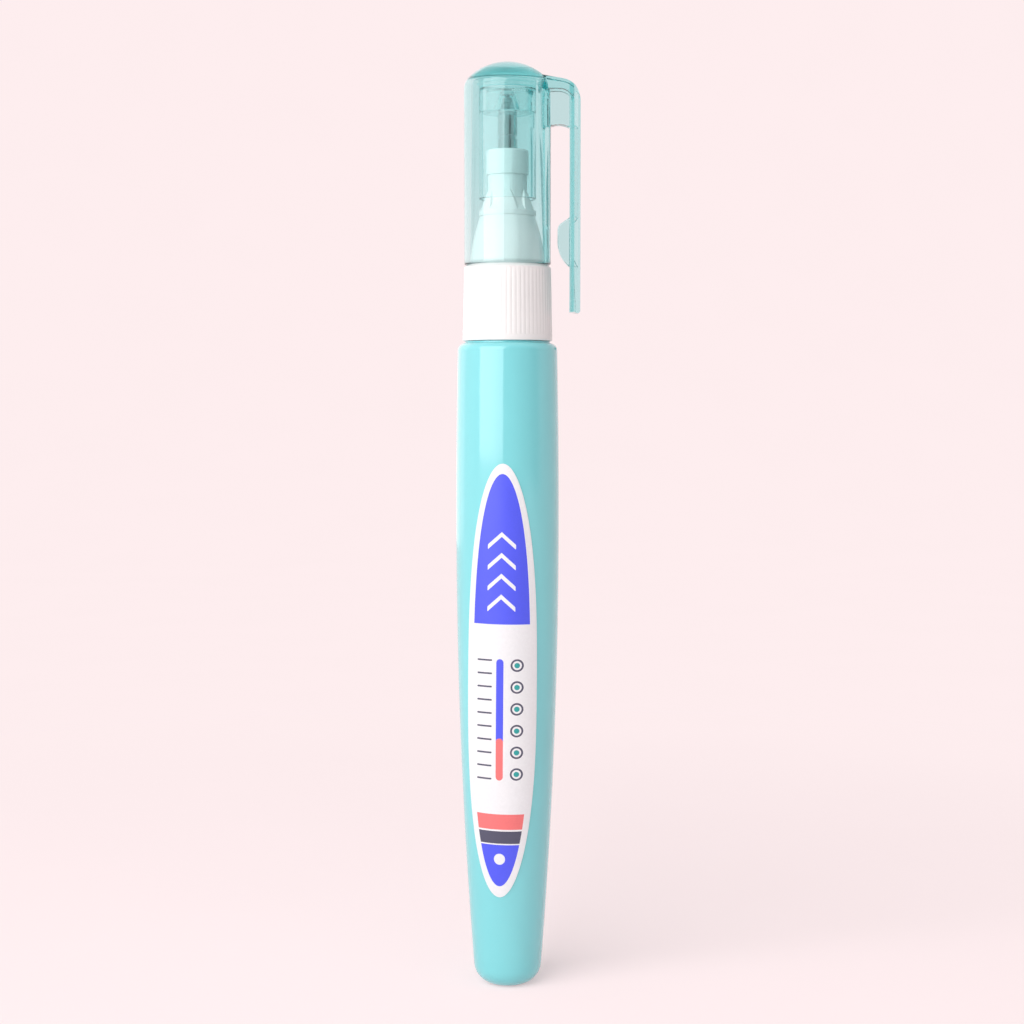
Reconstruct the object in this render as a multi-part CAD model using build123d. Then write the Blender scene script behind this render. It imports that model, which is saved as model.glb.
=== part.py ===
"""Correction pen: squeeze barrel, screw-on nozzle with a needle valve in a metal tip, clear cap with a clip.

Millimetres. +Z runs along the pen from the barrel's end face to the cap, and the clip is on +X.
"""
import os
from math import cos, pi, radians, sin, sqrt

from build123d import *

# Barrel: a blown squeeze bottle with a threaded neck
barrel_height = 98.3        # end face to shoulder
barrel_wall = 1.0
belly_radius = 7.84         # widest place
belly_drop = 27.3           # widest place, below the shoulder
shoulder_bow = 0.31         # how much narrower the side is at the shoulder
heel_bow = 2.88             # how much narrower the side is at the end face
shoulder_round = 1.2
heel_round = 3.2
least_round = 0.2           # smallest round left inside the wall
neck_height = 8.9
neck_bore = 3.5             # radius
neck_wall = 1.05
land_gap = 0.05             # skirt to the low land under it
land_inset = 0.35           # skirt's edge to the land's

# Screw thread between neck and nozzle
thread_pitch = 2.0
thread_depth = 0.6
thread_root = 1.0           # width where it leaves its wall
thread_crest = 0.45         # width at its top
thread_sunk = 0.2           # how far its foot goes into the wall
thread_lift = 2.2           # shoulder to the middle of the first turn
neck_turns = 2.0
skirt_turns = 1.5
thread_clearance = 0.15

# Gasket between neck and nozzle
gasket_thickness = 0.8
gasket_clearance = 0.1      # to the skirt around it

# Nozzle: knurled skirt below, cone and neck above
shoulder_gap = 0.25         # skirt to barrel shoulder
skirt_height = 11.35
skirt_wall = 1.28
skirt_draft = 0.22          # how much wider the skirt is at its foot
skirt_lip = 0.85            # plain band below the knurl
skirt_bevel = 0.35
knurl_count = 60
knurl_depth = 0.16
knurl_round = 0.3           # radius of one knurl groove
seat_ledge = 0.96           # width of the ledge under the cap's mouth
land_height = 1.1           # straight land that holds the cap
flare_height = 6.3
flare_bulge = 0.16
ring_radius = 4.3
ring_height = 0.85
ring_step = 0.12            # how far the ring stands over the flare
cone_step = 0.2             # how far the ring stands over the cone above it
cone_height = 3.1
cone_hollow = 0.35          # how far the cone bows inwards
gusset_count = 6
gusset_foot = 2.9           # width at the ring
gusset_tip = 0.8            # width at the waist
waist_height = 2.2
waist_step = 0.23           # how far the head stands over the waist
head_height = 3.75
head_bevel = 0.2
head_wall = 1.73            # around the metal tip
cavity_wall = 1.65          # between the flare and the hollow inside it
cavity_straight = 5.0       # straight height of that hollow

# Metal tip, pressed into the nozzle from below
tip_radius = 1.45
tip_fit = 0.02              # to the nozzle around it
tip_reach = 7.75            # nozzle top to nose
tip_tail = 11.25            # nozzle top to its lower end
tip_wall = 0.4
tip_flange = 0.45           # how far the flange stands out
tip_flange_height = 0.8
tip_nose = 0.75             # radius of the end face
tip_cone = 2.1              # height of the cone
tip_groove = 0.5            # width of the turned groove
tip_groove_depth = 0.2
tip_groove_lift = 1.65      # nozzle top to the groove
orifice_length = 0.8
seat_height = 0.9           # height of the valve seat's cone

# Valve: steel pin in a plastic plunger, with a spring and its retainer
pin_radius = 0.35
pin_clearance = 0.08
pin_reach = 0.6             # nose to the pin's end
pin_round = 0.24
pin_depth = 6.5             # how much of the pin the plunger holds
plunger_clearance = 0.1
plunger_head = 0.5          # radius at the top of its cone
plunger_height = 2.4
plunger_stem = 0.5          # radius
plunger_stem_length = 4.5
flute_radius = 0.25
flute_count = 3
valve_gap = 0.06            # plunger cone to seat
spring_wire = 0.12          # radius
spring_radius = 0.76        # to the middle of the wire
spring_turns = 10
spring_gap = 0.05           # at each end
spring_samples = 400        # points on which its gap to itself is measured
retainer_height = 1.8
retainer_bore = 0.5         # radius
retainer_lift = 1.2         # tip's lower end to the retainer

# Cap: outer shell, inner sleeve, soft seal, clip
cap_gap = 0.1               # mouth to the nozzle's ledge
cap_fit = 0.08              # running clearance on the nozzle
cap_wall = 0.85             # at the mouth
cap_draft = 0.5             # how much narrower the bore is above the land
cap_lead = 0.5              # land to where the bore starts to narrow
cap_lead_height = 3.5       # height over which it narrows
cap_roof = 3.9              # seal to the top of the crown
crown_radius = 8.5
crown_round = 2.5
mouth_bevel = 0.25
sleeve_wall = 1.05          # round the seal
sleeve_skin = 0.45          # below the seal
sleeve_overlap = 1.4        # how far the sleeve reaches down over the nozzle's cone
roof_drop = 3.0             # crown top to the ceiling around the sleeve
ceiling_round = 0.9
sleeve_round = 0.4
bore_round = 0.6
seal_fit = 0.02
seal_height = 3.7
seal_roof = 0.65
seal_clearance = 0.25       # pin's end to the seal
seal_relief = 0.18          # to the tip's cone
clip_width = 5.0            # at its widest, between arm and rib
clip_ridge = 1.5            # width of the arm's outer face
clip_crown = 1.0            # depth of the slopes beside that face
clip_gap = 2.8              # cap wall to the arm's rib
clip_plate = 1.0            # thickness of the arm
clip_rib = 0.65             # how far the rib stands in from the arm
clip_web = 2.4              # thickness of web and bump, and of the rib's inner face
clip_flange = 1.45          # thickness of the bridge
clip_slope = 0.45           # fall of the bridge to its outer corner
clip_corner = 3.2           # radius of the outer corner
clip_top_drop = 2.3         # crown top to the bridge
clip_length = 35.3          # bridge to the arm's lower end
clip_root_gap = 0.1         # clip to the cap shell
rib_end_gap = 0.15          # arm's lower end to the rib's
clip_end_round = 0.45
web_height = 5.6            # bridge underside to the web's lower edge
web_arch = 0.45
bump_reach = 1.8            # how far the bump stands in from the rib
bump_lift = 6.95            # arm's lower end to the bump's foot
bump_ramp = 3.55            # height of its lower ramp
bump_face = 2.45            # height of its flat
bump_chamfer = 1.4          # height of its upper slope
bump_bulge = 0.3

# Label and mixing ball
label_thickness = 0.12
label_gap = 0.02            # glue under the label
label_top_margin = 18.05    # shoulder to the label's upper tip
label_foot_margin = 14.7    # end face to the label's lower tip
label_width = 10.4          # straight across
label_widest = 30.5         # lower tip to the widest place
label_upper_power = 2.8     # fullness of the upper half
label_lower_power = 2.5     # fullness of the lower half
label_turn = -8.1           # degrees round from -Y
label_lean = -0.7           # degrees off upright
label_points = 9            # points on each quarter of its outline
ball_radius = 2.2
ball_gap = 0.05

# Levels and radii that follow from the sizes above
belly_z = barrel_height - belly_drop
neck_top = barrel_height + neck_height
neck_radius = neck_bore + neck_wall
thread_tip_radius = neck_radius + thread_depth
skirt_bore = thread_tip_radius + thread_clearance
skirt_radius = skirt_bore + skirt_wall
skirt_foot = barrel_height + shoulder_gap
seat_z = skirt_foot + skirt_height
ceiling_z = neck_top + gasket_thickness
land_radius = skirt_radius - seat_ledge
land_top = seat_z + land_height
flare_top = land_top + flare_height
flare_end_radius = ring_radius - ring_step
ring_top = flare_top + ring_height
cone_foot_radius = ring_radius - cone_step
head_radius = tip_radius + head_wall
waist_radius = head_radius - waist_step
waist_foot = ring_top + cone_height
head_foot = waist_foot + waist_height
nozzle_top = head_foot + head_height
tip_foot = nozzle_top - tip_tail
tip_ledge = tip_foot + tip_flange_height
tip_hole = tip_radius + tip_fit
tip_bore = tip_radius - tip_wall
nose_z = nozzle_top + tip_reach
tip_cone_foot = nose_z - tip_cone
seat_top = nose_z - orifice_length
seat_foot = seat_top - seat_height
orifice_radius = pin_radius + pin_clearance
pin_top = nose_z + pin_reach
retainer_foot = tip_foot + retainer_lift
retainer_top = retainer_foot + retainer_height
mouth_z = seat_z + cap_gap
cap_bore = land_radius + cap_fit
cap_radius = cap_bore + cap_wall
sleeve_bore = head_radius + cap_fit
sleeve_radius = sleeve_bore + sleeve_wall
sleeve_foot = waist_foot - sleeve_overlap
seal_ceiling = pin_top + seal_clearance
seal_top = seal_ceiling + seal_roof
seal_foot = seal_top - seal_height
cap_top = seal_top + cap_roof
clip_inner = cap_radius + clip_gap
clip_face = clip_inner + clip_rib
clip_outer = clip_face + clip_plate
clip_top = cap_top - clip_top_drop
clip_foot = clip_top - clip_length


def turned(outline):
    """Spin a closed outline of (radius, height) points about the pen's axis."""
    return revolve(Plane.XZ * outline, Axis.Z)


def turned_points(*points):
    """Spin a closed outline with straight sides."""
    return turned(make_face(Polyline(*points, close=True)))


def disc(radius, foot, top):
    """A plain cylinder on the axis between two heights."""
    return Pos(0, 0, foot) * Cylinder(radius, top - foot, align=(Align.CENTER, Align.CENTER, Align.MIN))


def side_radius(height, inset):
    """Radius of the barrel's side at a height, on a surface set in from the outside."""
    above = height > belly_z
    bow = shoulder_bow if above else heel_bow
    span = belly_drop if above else belly_z
    arc = (bow * bow + span * span) / (2 * bow)
    return belly_radius - arc + sqrt((arc - inset) ** 2 - (height - belly_z) ** 2)


def barrel_outline(inset):
    """Half outline of the barrel below its neck, set in by a distance."""
    foot = inset
    top = barrel_height - inset
    low_middle = (foot + belly_z) / 2
    high_middle = (top + belly_z) / 2
    heel = (side_radius(foot, inset), foot)
    belly = (belly_radius - inset, belly_z)
    shoulder = (side_radius(top, inset), top)
    outline = make_face(
        Line((0, foot), heel)
        + ThreePointArc(heel, (side_radius(low_middle, inset), low_middle), belly)
        + ThreePointArc(belly, (side_radius(high_middle, inset), high_middle), shoulder)
        + Line(shoulder, (0, top))
        + Line((0, top), (0, foot))
    )
    corner = outline.vertices().group_by(Axis.Y)[0].sort_by(Axis.X)[-1]
    outline = fillet(corner, max(heel_round - inset, least_round))
    corner = outline.vertices().group_by(Axis.Y)[-1].sort_by(Axis.X)[-1]
    return fillet(corner, max(shoulder_round - inset, least_round))


def coil_path(radius, pitch, turns, foot):
    """A rising coil, each quarter turn made of two arcs that meet in one direction."""
    edges = []
    step = pi / 2
    count = round(2 * pi * turns / step)
    rise = pitch / (2 * pi)
    length = sqrt(radius * radius + rise * rise)

    def place(angle):
        return Vector(radius * cos(angle), radius * sin(angle), foot + rise * angle)

    def heading(angle):
        return Vector(-radius * sin(angle), radius * cos(angle), rise) / length

    for index in range(count):
        start, end = place(index * step), place((index + 1) * step)
        start_way, end_way = heading(index * step), heading((index + 1) * step)
        chord, ways = end - start, start_way + end_way
        bend = 2 * (1 - start_way.dot(end_way))
        reach = (sqrt(chord.dot(ways) ** 2 + bend * chord.dot(chord)) - chord.dot(ways)) / bend
        start_arm, end_arm = start + start_way * reach, end - end_way * reach
        join = (start_arm + end_arm) / 2
        edges.append(TangentArc(start, join, tangent=start_way))
        edges.append(TangentArc(join, end, tangent=end_arm - start_arm))
    return Wire(edges)


def thread(wall, crest, turns, foot):
    """One screw thread from its wall radius to its crest radius, with its foot sunk in the wall."""
    outward = 1 if crest > wall else -1
    sunk = wall - outward * thread_sunk
    path = Helix(thread_pitch, thread_pitch * turns, (wall + crest) / 2, center=(0, 0, foot))
    section = make_face(
        Plane.XZ
        * Polyline(
            (sunk, foot - thread_root / 2),
            (wall, foot - thread_root / 2),
            (crest, foot - thread_crest / 2),
            (crest, foot + thread_crest / 2),
            (wall, foot + thread_root / 2),
            (sunk, foot + thread_root / 2),
            close=True,
        )
    )
    return sweep(section, path=path, is_frenet=True)


def barrel():
    """Squeeze bottle: hollow body, a low land on its shoulder, neck and neck thread."""
    land = disc(skirt_radius + skirt_draft - land_inset, barrel_height - barrel_wall, skirt_foot - land_gap)
    body = turned(barrel_outline(0)) + land + disc(neck_radius, barrel_height - barrel_wall, neck_top)
    body -= turned(barrel_outline(barrel_wall))
    body -= disc(neck_bore, barrel_height - 2 * barrel_wall, neck_top)
    return body + thread(neck_radius, thread_tip_radius, neck_turns, barrel_height + thread_lift)


def neck_gasket():
    """Flat washer between the neck and the nozzle's ceiling."""
    return disc(skirt_bore - gasket_clearance, neck_top, ceiling_z) - disc(neck_bore, neck_top, ceiling_z)


def knurl_grooves():
    """Fine upright grooves round the skirt, following its draft."""
    foot = Vector(skirt_radius + skirt_draft + knurl_round - knurl_depth, 0, skirt_foot + skirt_lip)
    top = Vector(skirt_radius + knurl_round - knurl_depth, 0, seat_z - skirt_bevel)
    line = Line(foot, top)
    groove = sweep(Plane(origin=foot, z_dir=top - foot) * Circle(knurl_round), path=line)
    return PolarLocations(0, knurl_count) * groove


def gussets():
    """Wedges round the hollow cone, straight where the cone bows in."""
    wedge = make_face(
        Polyline(
            (-gusset_foot / 2, ring_top),
            (gusset_foot / 2, ring_top),
            (gusset_tip / 2, waist_foot),
            (-gusset_tip / 2, waist_foot),
            close=True,
        )
    )
    wedge = extrude(Plane.XZ * wedge, ring_radius)
    cone = turned_points(
        (tip_hole, ring_top), (cone_foot_radius, ring_top), (waist_radius, waist_foot), (tip_hole, waist_foot)
    )
    return PolarLocations(0, gusset_count) * (wedge & cone)


def nozzle():
    """Knurled skirt with an inside thread, cap land, flare, hollow cone and head, in one moulding."""
    flare_middle = ((land_radius + flare_end_radius) / 2 + flare_bulge, (land_top + flare_top) / 2)
    cone_middle = ((cone_foot_radius + waist_radius) / 2 - cone_hollow, (ring_top + waist_foot) / 2)
    cavity_knee = ceiling_z + cavity_straight
    outline = make_face(
        Polyline(
            (skirt_bore, skirt_foot),
            (skirt_radius + skirt_draft, skirt_foot),
            (skirt_radius, seat_z - skirt_bevel),
            (skirt_radius - skirt_bevel, seat_z),
            (land_radius, seat_z),
            (land_radius, land_top),
        )
        + ThreePointArc((land_radius, land_top), flare_middle, (flare_end_radius, flare_top))
        + Polyline(
            (flare_end_radius, flare_top),
            (ring_radius, flare_top),
            (ring_radius, ring_top),
            (cone_foot_radius, ring_top),
        )
        + ThreePointArc((cone_foot_radius, ring_top), cone_middle, (waist_radius, waist_foot))
        + Polyline(
            (waist_radius, waist_foot),
            (waist_radius, head_foot),
            (head_radius, head_foot),
            (head_radius, nozzle_top - head_bevel),
            (head_radius - head_bevel, nozzle_top),
            (tip_hole, nozzle_top),
            (tip_hole, tip_ledge),
            (flare_end_radius - cavity_wall, tip_ledge),
            (neck_bore, cavity_knee),
            (neck_bore, ceiling_z),
            (skirt_bore, ceiling_z),
            (skirt_bore, skirt_foot),
        )
    )
    body = turned(outline) + gussets()
    body -= knurl_grooves()
    start = barrel_height + thread_lift + thread_pitch / 2
    return body + thread(skirt_bore, neck_radius + thread_clearance, skirt_turns, start)


def metal_tip():
    """Turned tip with a flange at its lower end, a groove, a cone and the valve seat inside."""
    groove_foot = nozzle_top + tip_groove_lift
    groove_radius = tip_radius - tip_groove_depth
    return turned_points(
        (tip_bore, tip_foot),
        (tip_radius + tip_flange, tip_foot),
        (tip_radius + tip_flange, tip_ledge),
        (tip_radius, tip_ledge),
        (tip_radius, groove_foot),
        (groove_radius, groove_foot),
        (groove_radius, groove_foot + tip_groove),
        (tip_radius, groove_foot + tip_groove),
        (tip_radius, tip_cone_foot),
        (tip_nose, nose_z),
        (orifice_radius, nose_z),
        (orifice_radius, seat_top),
        (tip_bore, seat_foot),
    )


def seat_level(radius):
    """Height of the valve seat's cone at a radius."""
    return seat_foot + seat_height * (tip_bore - radius) / (tip_bore - orifice_radius)


plunger_radius = tip_bore - plunger_clearance
plunger_edge = seat_level(plunger_radius) - valve_gap
plunger_top = seat_level(plunger_head) - valve_gap
plunger_shoulder = plunger_edge - plunger_height
plunger_foot = plunger_shoulder - plunger_stem_length


def valve_plunger():
    """Plastic plunger: cone that shuts the seat, fluted guide and spring stem, with a hole for the pin."""
    body = turned_points(
        (0, plunger_foot),
        (plunger_stem, plunger_foot),
        (plunger_stem, plunger_shoulder),
        (plunger_radius, plunger_shoulder),
        (plunger_radius, plunger_edge),
        (plunger_head, plunger_top),
        (0, plunger_top),
    )
    flute = Pos(plunger_radius, 0, 0) * disc(flute_radius, plunger_shoulder, plunger_edge)
    body -= PolarLocations(0, flute_count) * flute
    return body - disc(pin_radius, plunger_top - pin_depth, plunger_top)


def valve_pin():
    """Steel pin with a rounded end, held in the plunger."""
    pin = disc(pin_radius, plunger_top - pin_depth, pin_top)
    return fillet(pin.edges().group_by(Axis.Z)[-1], min(pin_round, pin_radius * 0.9))


def valve_spring():
    """Coil spring between the retainer and the plunger's shoulder."""
    foot = retainer_top + spring_gap + spring_wire
    top = plunger_shoulder - spring_gap - spring_wire
    pitch = (top - foot) / spring_turns
    path = coil_path(spring_radius, pitch, spring_turns, foot)
    points = [path @ (index / spring_samples) for index in range(spring_samples + 1)]
    half_turn = round(spring_samples / spring_turns / 2)
    gaps = [(a - b).length for i, a in enumerate(points) for b in points[i + half_turn:]]
    print("spring, least gap to itself:", round(min(gaps) - 2 * spring_wire, 2), "mm")
    section = Plane(origin=path @ 0, z_dir=path % 0) * Circle(spring_wire)
    return sweep(section, path=path)


def spring_retainer():
    """Bush pressed into the tip's lower end, which holds the spring and lets the fluid through."""
    return disc(tip_bore, retainer_foot, retainer_top) - disc(retainer_bore, retainer_foot, retainer_top)


def cap_envelope(margin):
    """Outside of the cap without its clip, grown by a margin."""
    radius = cap_radius + margin
    top = cap_top + margin
    crown = crown_radius + margin
    edge = (radius, top - crown + sqrt(crown ** 2 - radius ** 2))
    middle = (radius / 2, top - crown + sqrt(crown ** 2 - (radius / 2) ** 2))
    outline = make_face(
        Line((0, mouth_z), (radius, mouth_z))
        + Line((radius, mouth_z), edge)
        + ThreePointArc(edge, middle, (0, top))
        + Line((0, top), (0, mouth_z))
    )
    corner = outline.vertices().sort_by_distance((edge[0], edge[1], 0))[0]
    return turned(fillet(corner, crown_round + margin))


def cap_shell():
    """Clear cap: outer shell, roof, and the sleeve that holds the seal and goes round the nozzle's head."""
    ceiling = cap_top - roof_drop
    room_width = cap_bore - cap_draft - sleeve_radius
    room = make_face(
        Polyline(
            (sleeve_radius, mouth_z),
            (cap_bore, mouth_z),
            (cap_bore, land_top + cap_lead),
            (cap_bore - cap_draft, land_top + cap_lead + cap_lead_height),
            (cap_bore - cap_draft, ceiling),
            (sleeve_radius, ceiling),
            close=True,
        )
    )
    upper = room.vertices().group_by(Axis.Y)[-1].sort_by(Axis.X)
    room = fillet(upper[-1], min(ceiling_round, room_width * 0.6))
    upper = room.vertices().group_by(Axis.Y)[-1].sort_by(Axis.X)
    room = fillet(upper[0], min(sleeve_round, room_width * 0.3))
    bore = disc(sleeve_bore, mouth_z, seal_top)
    bore = fillet(bore.edges().group_by(Axis.Z)[-1], bore_round)
    bore += disc(sleeve_radius - sleeve_skin, mouth_z, seal_foot)
    body = cap_envelope(0) - turned(room) - bore - disc(sleeve_radius, mouth_z, sleeve_foot)
    rim = body.edges().group_by(Axis.Z)[0]
    return chamfer(rim, mouth_bevel)


def cap_seal():
    """Soft plug in the sleeve's end, with a hollow for the tip."""
    plug = disc(sleeve_bore - seal_fit, seal_foot, seal_top)
    plug = fillet(plug.edges().group_by(Axis.Z)[-1], bore_round)
    slope = (tip_radius - tip_nose) / tip_cone
    mouth = tip_radius + seal_relief + slope * max(tip_cone_foot - seal_foot, 0)
    hollow = turned_points(
        (0, seal_foot),
        (mouth, seal_foot),
        (tip_radius + seal_relief, tip_cone_foot + seal_relief),
        (tip_nose + seal_relief, nose_z + seal_relief),
        (tip_nose, seal_ceiling),
        (0, seal_ceiling),
    )
    return plug - hollow


def across(outline, width):
    """An outline in the clip's plane, given a width on both sides of it."""
    return extrude(Plane.XZ * outline, width / 2, both=True)


def pocket_clip():
    """Clip: sloping bridge, arm, and a rib, web and bump on the arm's inner side."""
    root = cap_radius / 2
    corner_top = clip_top - clip_slope
    underside = corner_top - clip_flange
    web_foot = underside - web_height
    plate = make_face(
        Polyline(
            (root, clip_top + clip_slope),
            (clip_outer, corner_top - clip_slope),
            (clip_outer, clip_foot),
            (clip_face, clip_foot),
            (clip_face, underside),
            (root, underside),
            close=True,
        )
    )
    corner = plate.vertices().sort_by_distance((clip_outer, corner_top, 0))[0]
    plate = fillet(corner, clip_corner)
    corner = plate.vertices().sort_by_distance((clip_face, underside, 0))[0]
    plate = fillet(corner, max(clip_corner - clip_plate, least_round))
    low_corners = plate.vertices().group_by(Axis.Y)[0]
    plate = fillet(low_corners, min(clip_end_round, clip_plate * 0.45))
    web = make_face(
        Line((root, underside), (root, web_foot))
        + ThreePointArc(
            (root, web_foot), ((root + clip_face) / 2, web_foot + web_arch), (clip_face, web_foot)
        )
        + Line((clip_face, web_foot), (clip_face, underside))
        + Line((clip_face, underside), (root, underside))
    )
    bump_foot = clip_foot + bump_lift
    face_foot = bump_foot + bump_ramp
    face_top = face_foot + bump_face
    bump_face_x = clip_inner - bump_reach
    ramp_middle = ((clip_inner + bump_face_x) / 2 - bump_bulge, (bump_foot + face_foot) / 2 - bump_bulge)
    bump = make_face(
        Line((clip_face, bump_foot), (clip_inner, bump_foot))
        + ThreePointArc((clip_inner, bump_foot), ramp_middle, (bump_face_x, face_foot))
        + Polyline(
            (bump_face_x, face_foot),
            (bump_face_x, face_top),
            (clip_inner, face_top + bump_chamfer),
            (clip_face, face_top + bump_chamfer),
            (clip_face, bump_foot),
        )
    )
    rib_foot = clip_foot + rib_end_gap
    rib = make_face(
        Polyline(
            (clip_inner, -clip_web / 2),
            (clip_face, -clip_width / 2),
            (clip_face, clip_width / 2),
            (clip_inner, clip_web / 2),
            close=True,
        )
    )
    rib = extrude(Pos(0, 0, rib_foot) * rib, underside - rib_foot)
    crown = make_face(
        Polyline(
            (0, -clip_width / 2),
            (clip_outer - clip_crown, -clip_width / 2),
            (clip_outer, -clip_ridge / 2),
            (clip_outer, clip_ridge / 2),
            (clip_outer - clip_crown, clip_width / 2),
            (0, clip_width / 2),
            close=True,
        )
    )
    arm = across(plate, clip_width) & extrude(Pos(0, 0, clip_foot) * crown, cap_top - clip_foot)
    body = arm + rib + across(web, clip_web) + across(bump, clip_web)
    return body - cap_envelope(clip_root_gap)


def label_outline():
    """Closed leaf shape: fuller than an ellipse, with its widest place below the middle."""
    half = label_width / 2
    lower = label_widest
    upper = barrel_height - label_top_margin - label_foot_margin - label_widest
    points = []
    for index in range(4 * label_points):
        angle = 2 * pi * index / (4 * label_points)
        height, power = (upper, label_upper_power) if sin(angle) > 0 else (-lower, label_lower_power)
        points.append((half * cos(angle), height * abs(sin(angle)) ** (2 / power)))
    return make_face(Spline(*points, periodic=True))


def label():
    """Printed sticker: a thin skin on the barrel inside the leaf outline."""
    turn = radians(label_turn)
    facing = Plane(
        origin=(0, 0, label_foot_margin + label_widest),
        x_dir=(cos(turn), sin(turn), 0),
        z_dir=(sin(turn), -cos(turn), 0),
    )
    block = extrude(facing * Rot(0, 0, label_lean) * label_outline(), 2 * belly_radius)
    skin = turned(barrel_outline(-label_gap - label_thickness)) - turned(barrel_outline(-label_gap))
    return skin & block


def agitator_ball():
    """Steel ball that stirs the fluid when the pen is shaken."""
    return Pos(0, 0, barrel_wall + ball_radius + ball_gap) * Sphere(ball_radius)


pieces = {
    "barrel": barrel,
    "label": label,
    "agitator_ball": agitator_ball,
    "neck_gasket": neck_gasket,
    "nozzle": nozzle,
    "metal_tip": metal_tip,
    "spring_retainer": spring_retainer,
    "valve_spring": valve_spring,
    "valve_plunger": valve_plunger,
    "valve_pin": valve_pin,
    "cap_shell": cap_shell,
    "cap_seal": cap_seal,
    "pocket_clip": pocket_clip,
}
os.makedirs("parts", exist_ok=True)
for name, make in pieces.items():
    export_step(make(), f"parts/{name}.step")
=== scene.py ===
"""Looks of a correction pen: barrel with a label, white nozzle with a metal tip, clear cap with a clip.

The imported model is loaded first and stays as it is. The pieces below take its sizes, in millimetres.
"""

import cmath
from math import atan2, ceil, cos, pi, radians, sin, sqrt, tan

import bmesh
import bpy
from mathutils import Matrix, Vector


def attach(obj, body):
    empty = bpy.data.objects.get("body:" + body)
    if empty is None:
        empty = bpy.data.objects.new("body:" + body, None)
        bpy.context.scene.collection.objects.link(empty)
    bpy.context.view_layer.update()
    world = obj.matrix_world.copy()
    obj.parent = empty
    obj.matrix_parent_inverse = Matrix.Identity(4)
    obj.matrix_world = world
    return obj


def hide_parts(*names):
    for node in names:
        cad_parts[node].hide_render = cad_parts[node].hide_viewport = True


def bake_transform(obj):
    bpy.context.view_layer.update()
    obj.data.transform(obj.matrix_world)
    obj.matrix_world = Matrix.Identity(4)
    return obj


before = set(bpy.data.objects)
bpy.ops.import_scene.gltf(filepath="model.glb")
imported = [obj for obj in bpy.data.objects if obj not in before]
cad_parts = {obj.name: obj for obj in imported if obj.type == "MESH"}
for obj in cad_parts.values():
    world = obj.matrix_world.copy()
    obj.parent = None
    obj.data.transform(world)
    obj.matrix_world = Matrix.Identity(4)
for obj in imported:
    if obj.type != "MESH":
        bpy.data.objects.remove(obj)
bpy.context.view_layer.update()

bl_info = {
    "name": "Correction Pen",
    "version": (1, 0, 0),
    "blender": (4, 5, 0),
    "location": "3D View > Sidebar > Pen",
    "description": "Dresses the packed correction pen with its visible pieces, finishes and stage",
    "category": "Object",
}

MM = 0.001

# Barrel, in millimetres, with +Z from the end face to the cap
BARREL_HEIGHT = 98.3
BARREL_WALL = 1.0
BELLY_Z = 71.0
BELLY_RADIUS = 7.84
SHOULDER_BOW = 0.31
HEEL_BOW = 2.88
SHOULDER_LAND = 6.45
SHOULDER_LAND_TOP = 98.5
NECK_TOP = 107.2
NECK_RADIUS = 4.55
NECK_BORE = 3.5
THREAD_PITCH = 2.0
THREAD_FOOT = 100.5
THREAD_HEIGHT = 0.6
THREAD_HALF_FOOT = 0.5
THREAD_FLANK = 0.275
THREAD_FADE = 0.08
THREAD_TURNS = 2.0

# Label: a leaf, measured from its widest place
LABEL_FOOT = 14.7
LABEL_TOP = 80.25
LABEL_WIDEST = 45.2
LABEL_HALF = 5.2
LABEL_UPPER_POWER = 2.8
LABEL_LOWER_POWER = 2.5
LABEL_TURN = radians(-8.1)
LABEL_LEAN = radians(-0.7)
LABEL_GAP = 0.02
LABEL_THICKNESS = 0.12

# Nozzle
SKIRT_FOOT = 98.55
SKIRT_TOP = 109.9
SKIRT_BORE = 5.3
SKIRT_RADIUS = 6.58
SKIRT_FOOT_RADIUS = 6.8
SKIRT_BEVEL = 0.35
KNURL_FOOT = 99.4
KNURL_TOP = 109.5
KNURL_ROUND = 0.3
KNURL_RUN_IN = 0.22
KNURL_RUN_OUT = 0.3
LAND_RADIUS = 5.62
LAND_TOP = 111.0
FLARE_TOP = 117.3
FLARE_END = 4.18
FLARE_BOW = 0.16
RING_RADIUS = 4.3
RING_TOP = 118.15
CONE_FOOT = 4.1
CONE_TOP = 121.25
CONE_BOW = 0.35
GUSSET_COUNT = 6
GUSSET_FOOT_HALF = 1.45
GUSSET_TOP_HALF = 0.4
GUSSET_EDGE = 0.05
GUSSET_LINE = 0.07
GUSSET_LINE_HALF = 0.14
WAIST_RADIUS = 2.95
HEAD_FOOT = 123.45
HEAD_RADIUS = 3.18
NOZZLE_TOP = 127.2
TIP_HOLE = 1.47
FLUID_TOP = 116.75
FLUID_TOP_RADIUS = 2.53
FLUID_WIDE = 113.0
GASKET_SEAT = 108.0
NOZZLE_THREAD_TOP = 105.6
NOZZLE_THREAD_LIFT = 1.0
NOZZLE_THREAD_TURNS = 1.5

# Metal tip
TIP_RADIUS = 1.45
TIP_NOSE_RADIUS = 0.75
TIP_NOSE = 134.95
TIP_CONE = 132.85
TIP_FOOT = 115.95
TIP_BORE = 1.05
TIP_BORE_TOP = 133.25
TIP_FLANGE = 0.45
TIP_FLANGE_HEIGHT = 0.8
TIP_GROOVE_FOOT = 128.85
TIP_GROOVE_TOP = 129.35
TIP_GROOVE_DEPTH = 0.2
PIN_HOLE = 0.43
PIN_HOLE_FOOT = 134.15

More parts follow.
